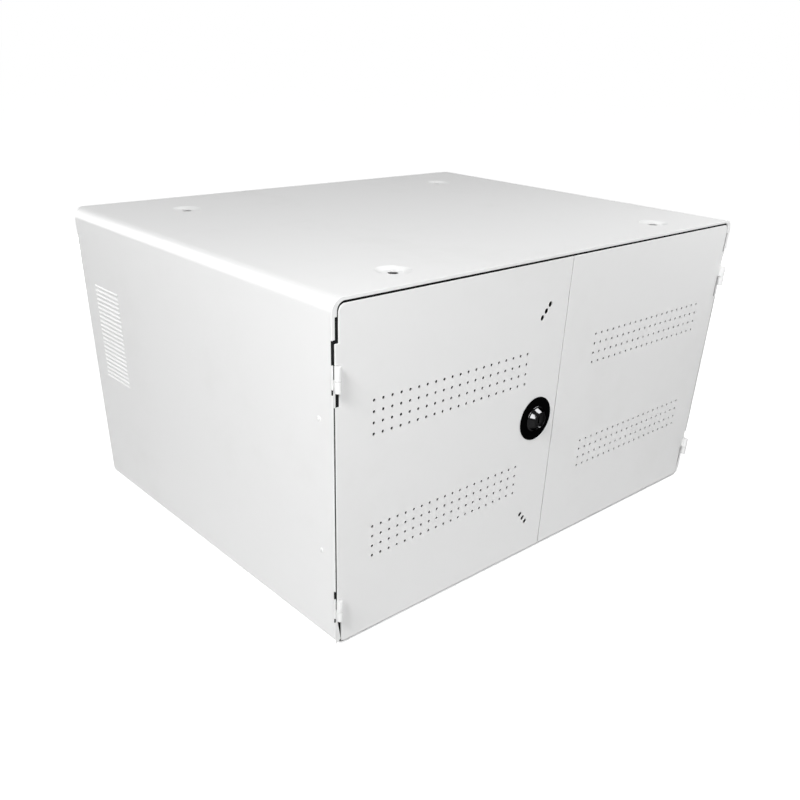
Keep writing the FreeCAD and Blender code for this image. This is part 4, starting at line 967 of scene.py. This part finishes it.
def makeFloor():
    release()
    bpy.ops.mesh.primitive_plane_add(size=studio["floorSize"])
    floor = bpy.context.object
    floor.name = "studioFloor"
    material, shader, sheet, place = newFinish("paleFloor")
    feed(shader, "Base Color", (studio["floorTone"],) * 3 + (1,))
    feed(shader, "Roughness", studio["floorRough"])
    feed(shader, "Specular IOR Level", 0.0)
    feed(shader, "Emission Color", blendColour(sheet, shownRays(sheet), (0, 0, 0), (1, 1, 1)))
    feed(shader, "Emission Strength", studio["floorLift"])
    floor.data.materials.append(material)


def makeLight():
    world = bpy.data.worlds.new("studio")
    bpy.context.scene.world = world
    world.use_nodes = True
    background = world.node_tree.nodes["Background"]
    feed(background, "Color", (1, 1, 1, 1))
    feed(background, "Strength", shownRays(Field(world.node_tree)) * (1 - studio["fill"]) + studio["fill"])

    lockPieces = bpy.data.collections.new("lockPieces")
    for name in studio["glintPieces"]:
        lockPieces.objects.link(bpy.data.objects[name])
    for kind in ("lamps", "fills", "sheen", "glints"):
        for spot, size, power in studio[kind]:
            lamp = bpy.data.lights.new(kind, "AREA")
            lamp.shape = "SQUARE"
            lamp.size = size
            lamp.energy = power
            holder = bpy.data.objects.new(kind, lamp)
            bpy.context.scene.collection.objects.link(holder)
            holder.location = spot
            holder.rotation_euler = (Vector(studio["target"]) - Vector(spot)).to_track_quat("-Z", "Y").to_euler()
            holder.visible_diffuse = kind in ("lamps", "fills")
            holder.visible_glossy = kind != "fills"
            if kind == "glints":
                holder.light_linking.receiver_collection = lockPieces


# Camera: place in metres, angles in degrees, focal length and centre in pixels of the frame
viewpoint = {"place": (-0.6895, -0.7401, 0.5162), "heading": -42.67, "dip": 30.05, "roll": 1.88,
             "focal": 833.7, "centre": (398.5, 523.4), "frame": 800, "sensor": 36, "nearest": 0.01}


def makeCamera():
    camera = bpy.data.objects.new("photoCamera", bpy.data.cameras.new("photoCamera"))
    bpy.context.scene.collection.objects.link(camera)
    camera.matrix_world = (Matrix.Translation(viewpoint["place"])
                           @ Matrix.Rotation(math.radians(viewpoint["heading"]), 4, "Z")
                           @ Matrix.Rotation(math.radians(90 - viewpoint["dip"]), 4, "X")
                           @ Matrix.Rotation(math.radians(viewpoint["roll"]), 4, "Z"))
    size = viewpoint["frame"]
    camera.data.sensor_width = viewpoint["sensor"]
    camera.data.lens = viewpoint["focal"] / size * viewpoint["sensor"]
    camera.data.shift_x = (size / 2 - viewpoint["centre"][0]) / size
    camera.data.shift_y = (viewpoint["centre"][1] - size / 2) / size
    camera.data.clip_start = viewpoint["nearest"]
    bpy.context.scene.camera = camera


makeFloor()
makeLight()
makeCamera()
bpy.context.scene.view_settings.view_transform = "Standard"
print("studio and camera made")
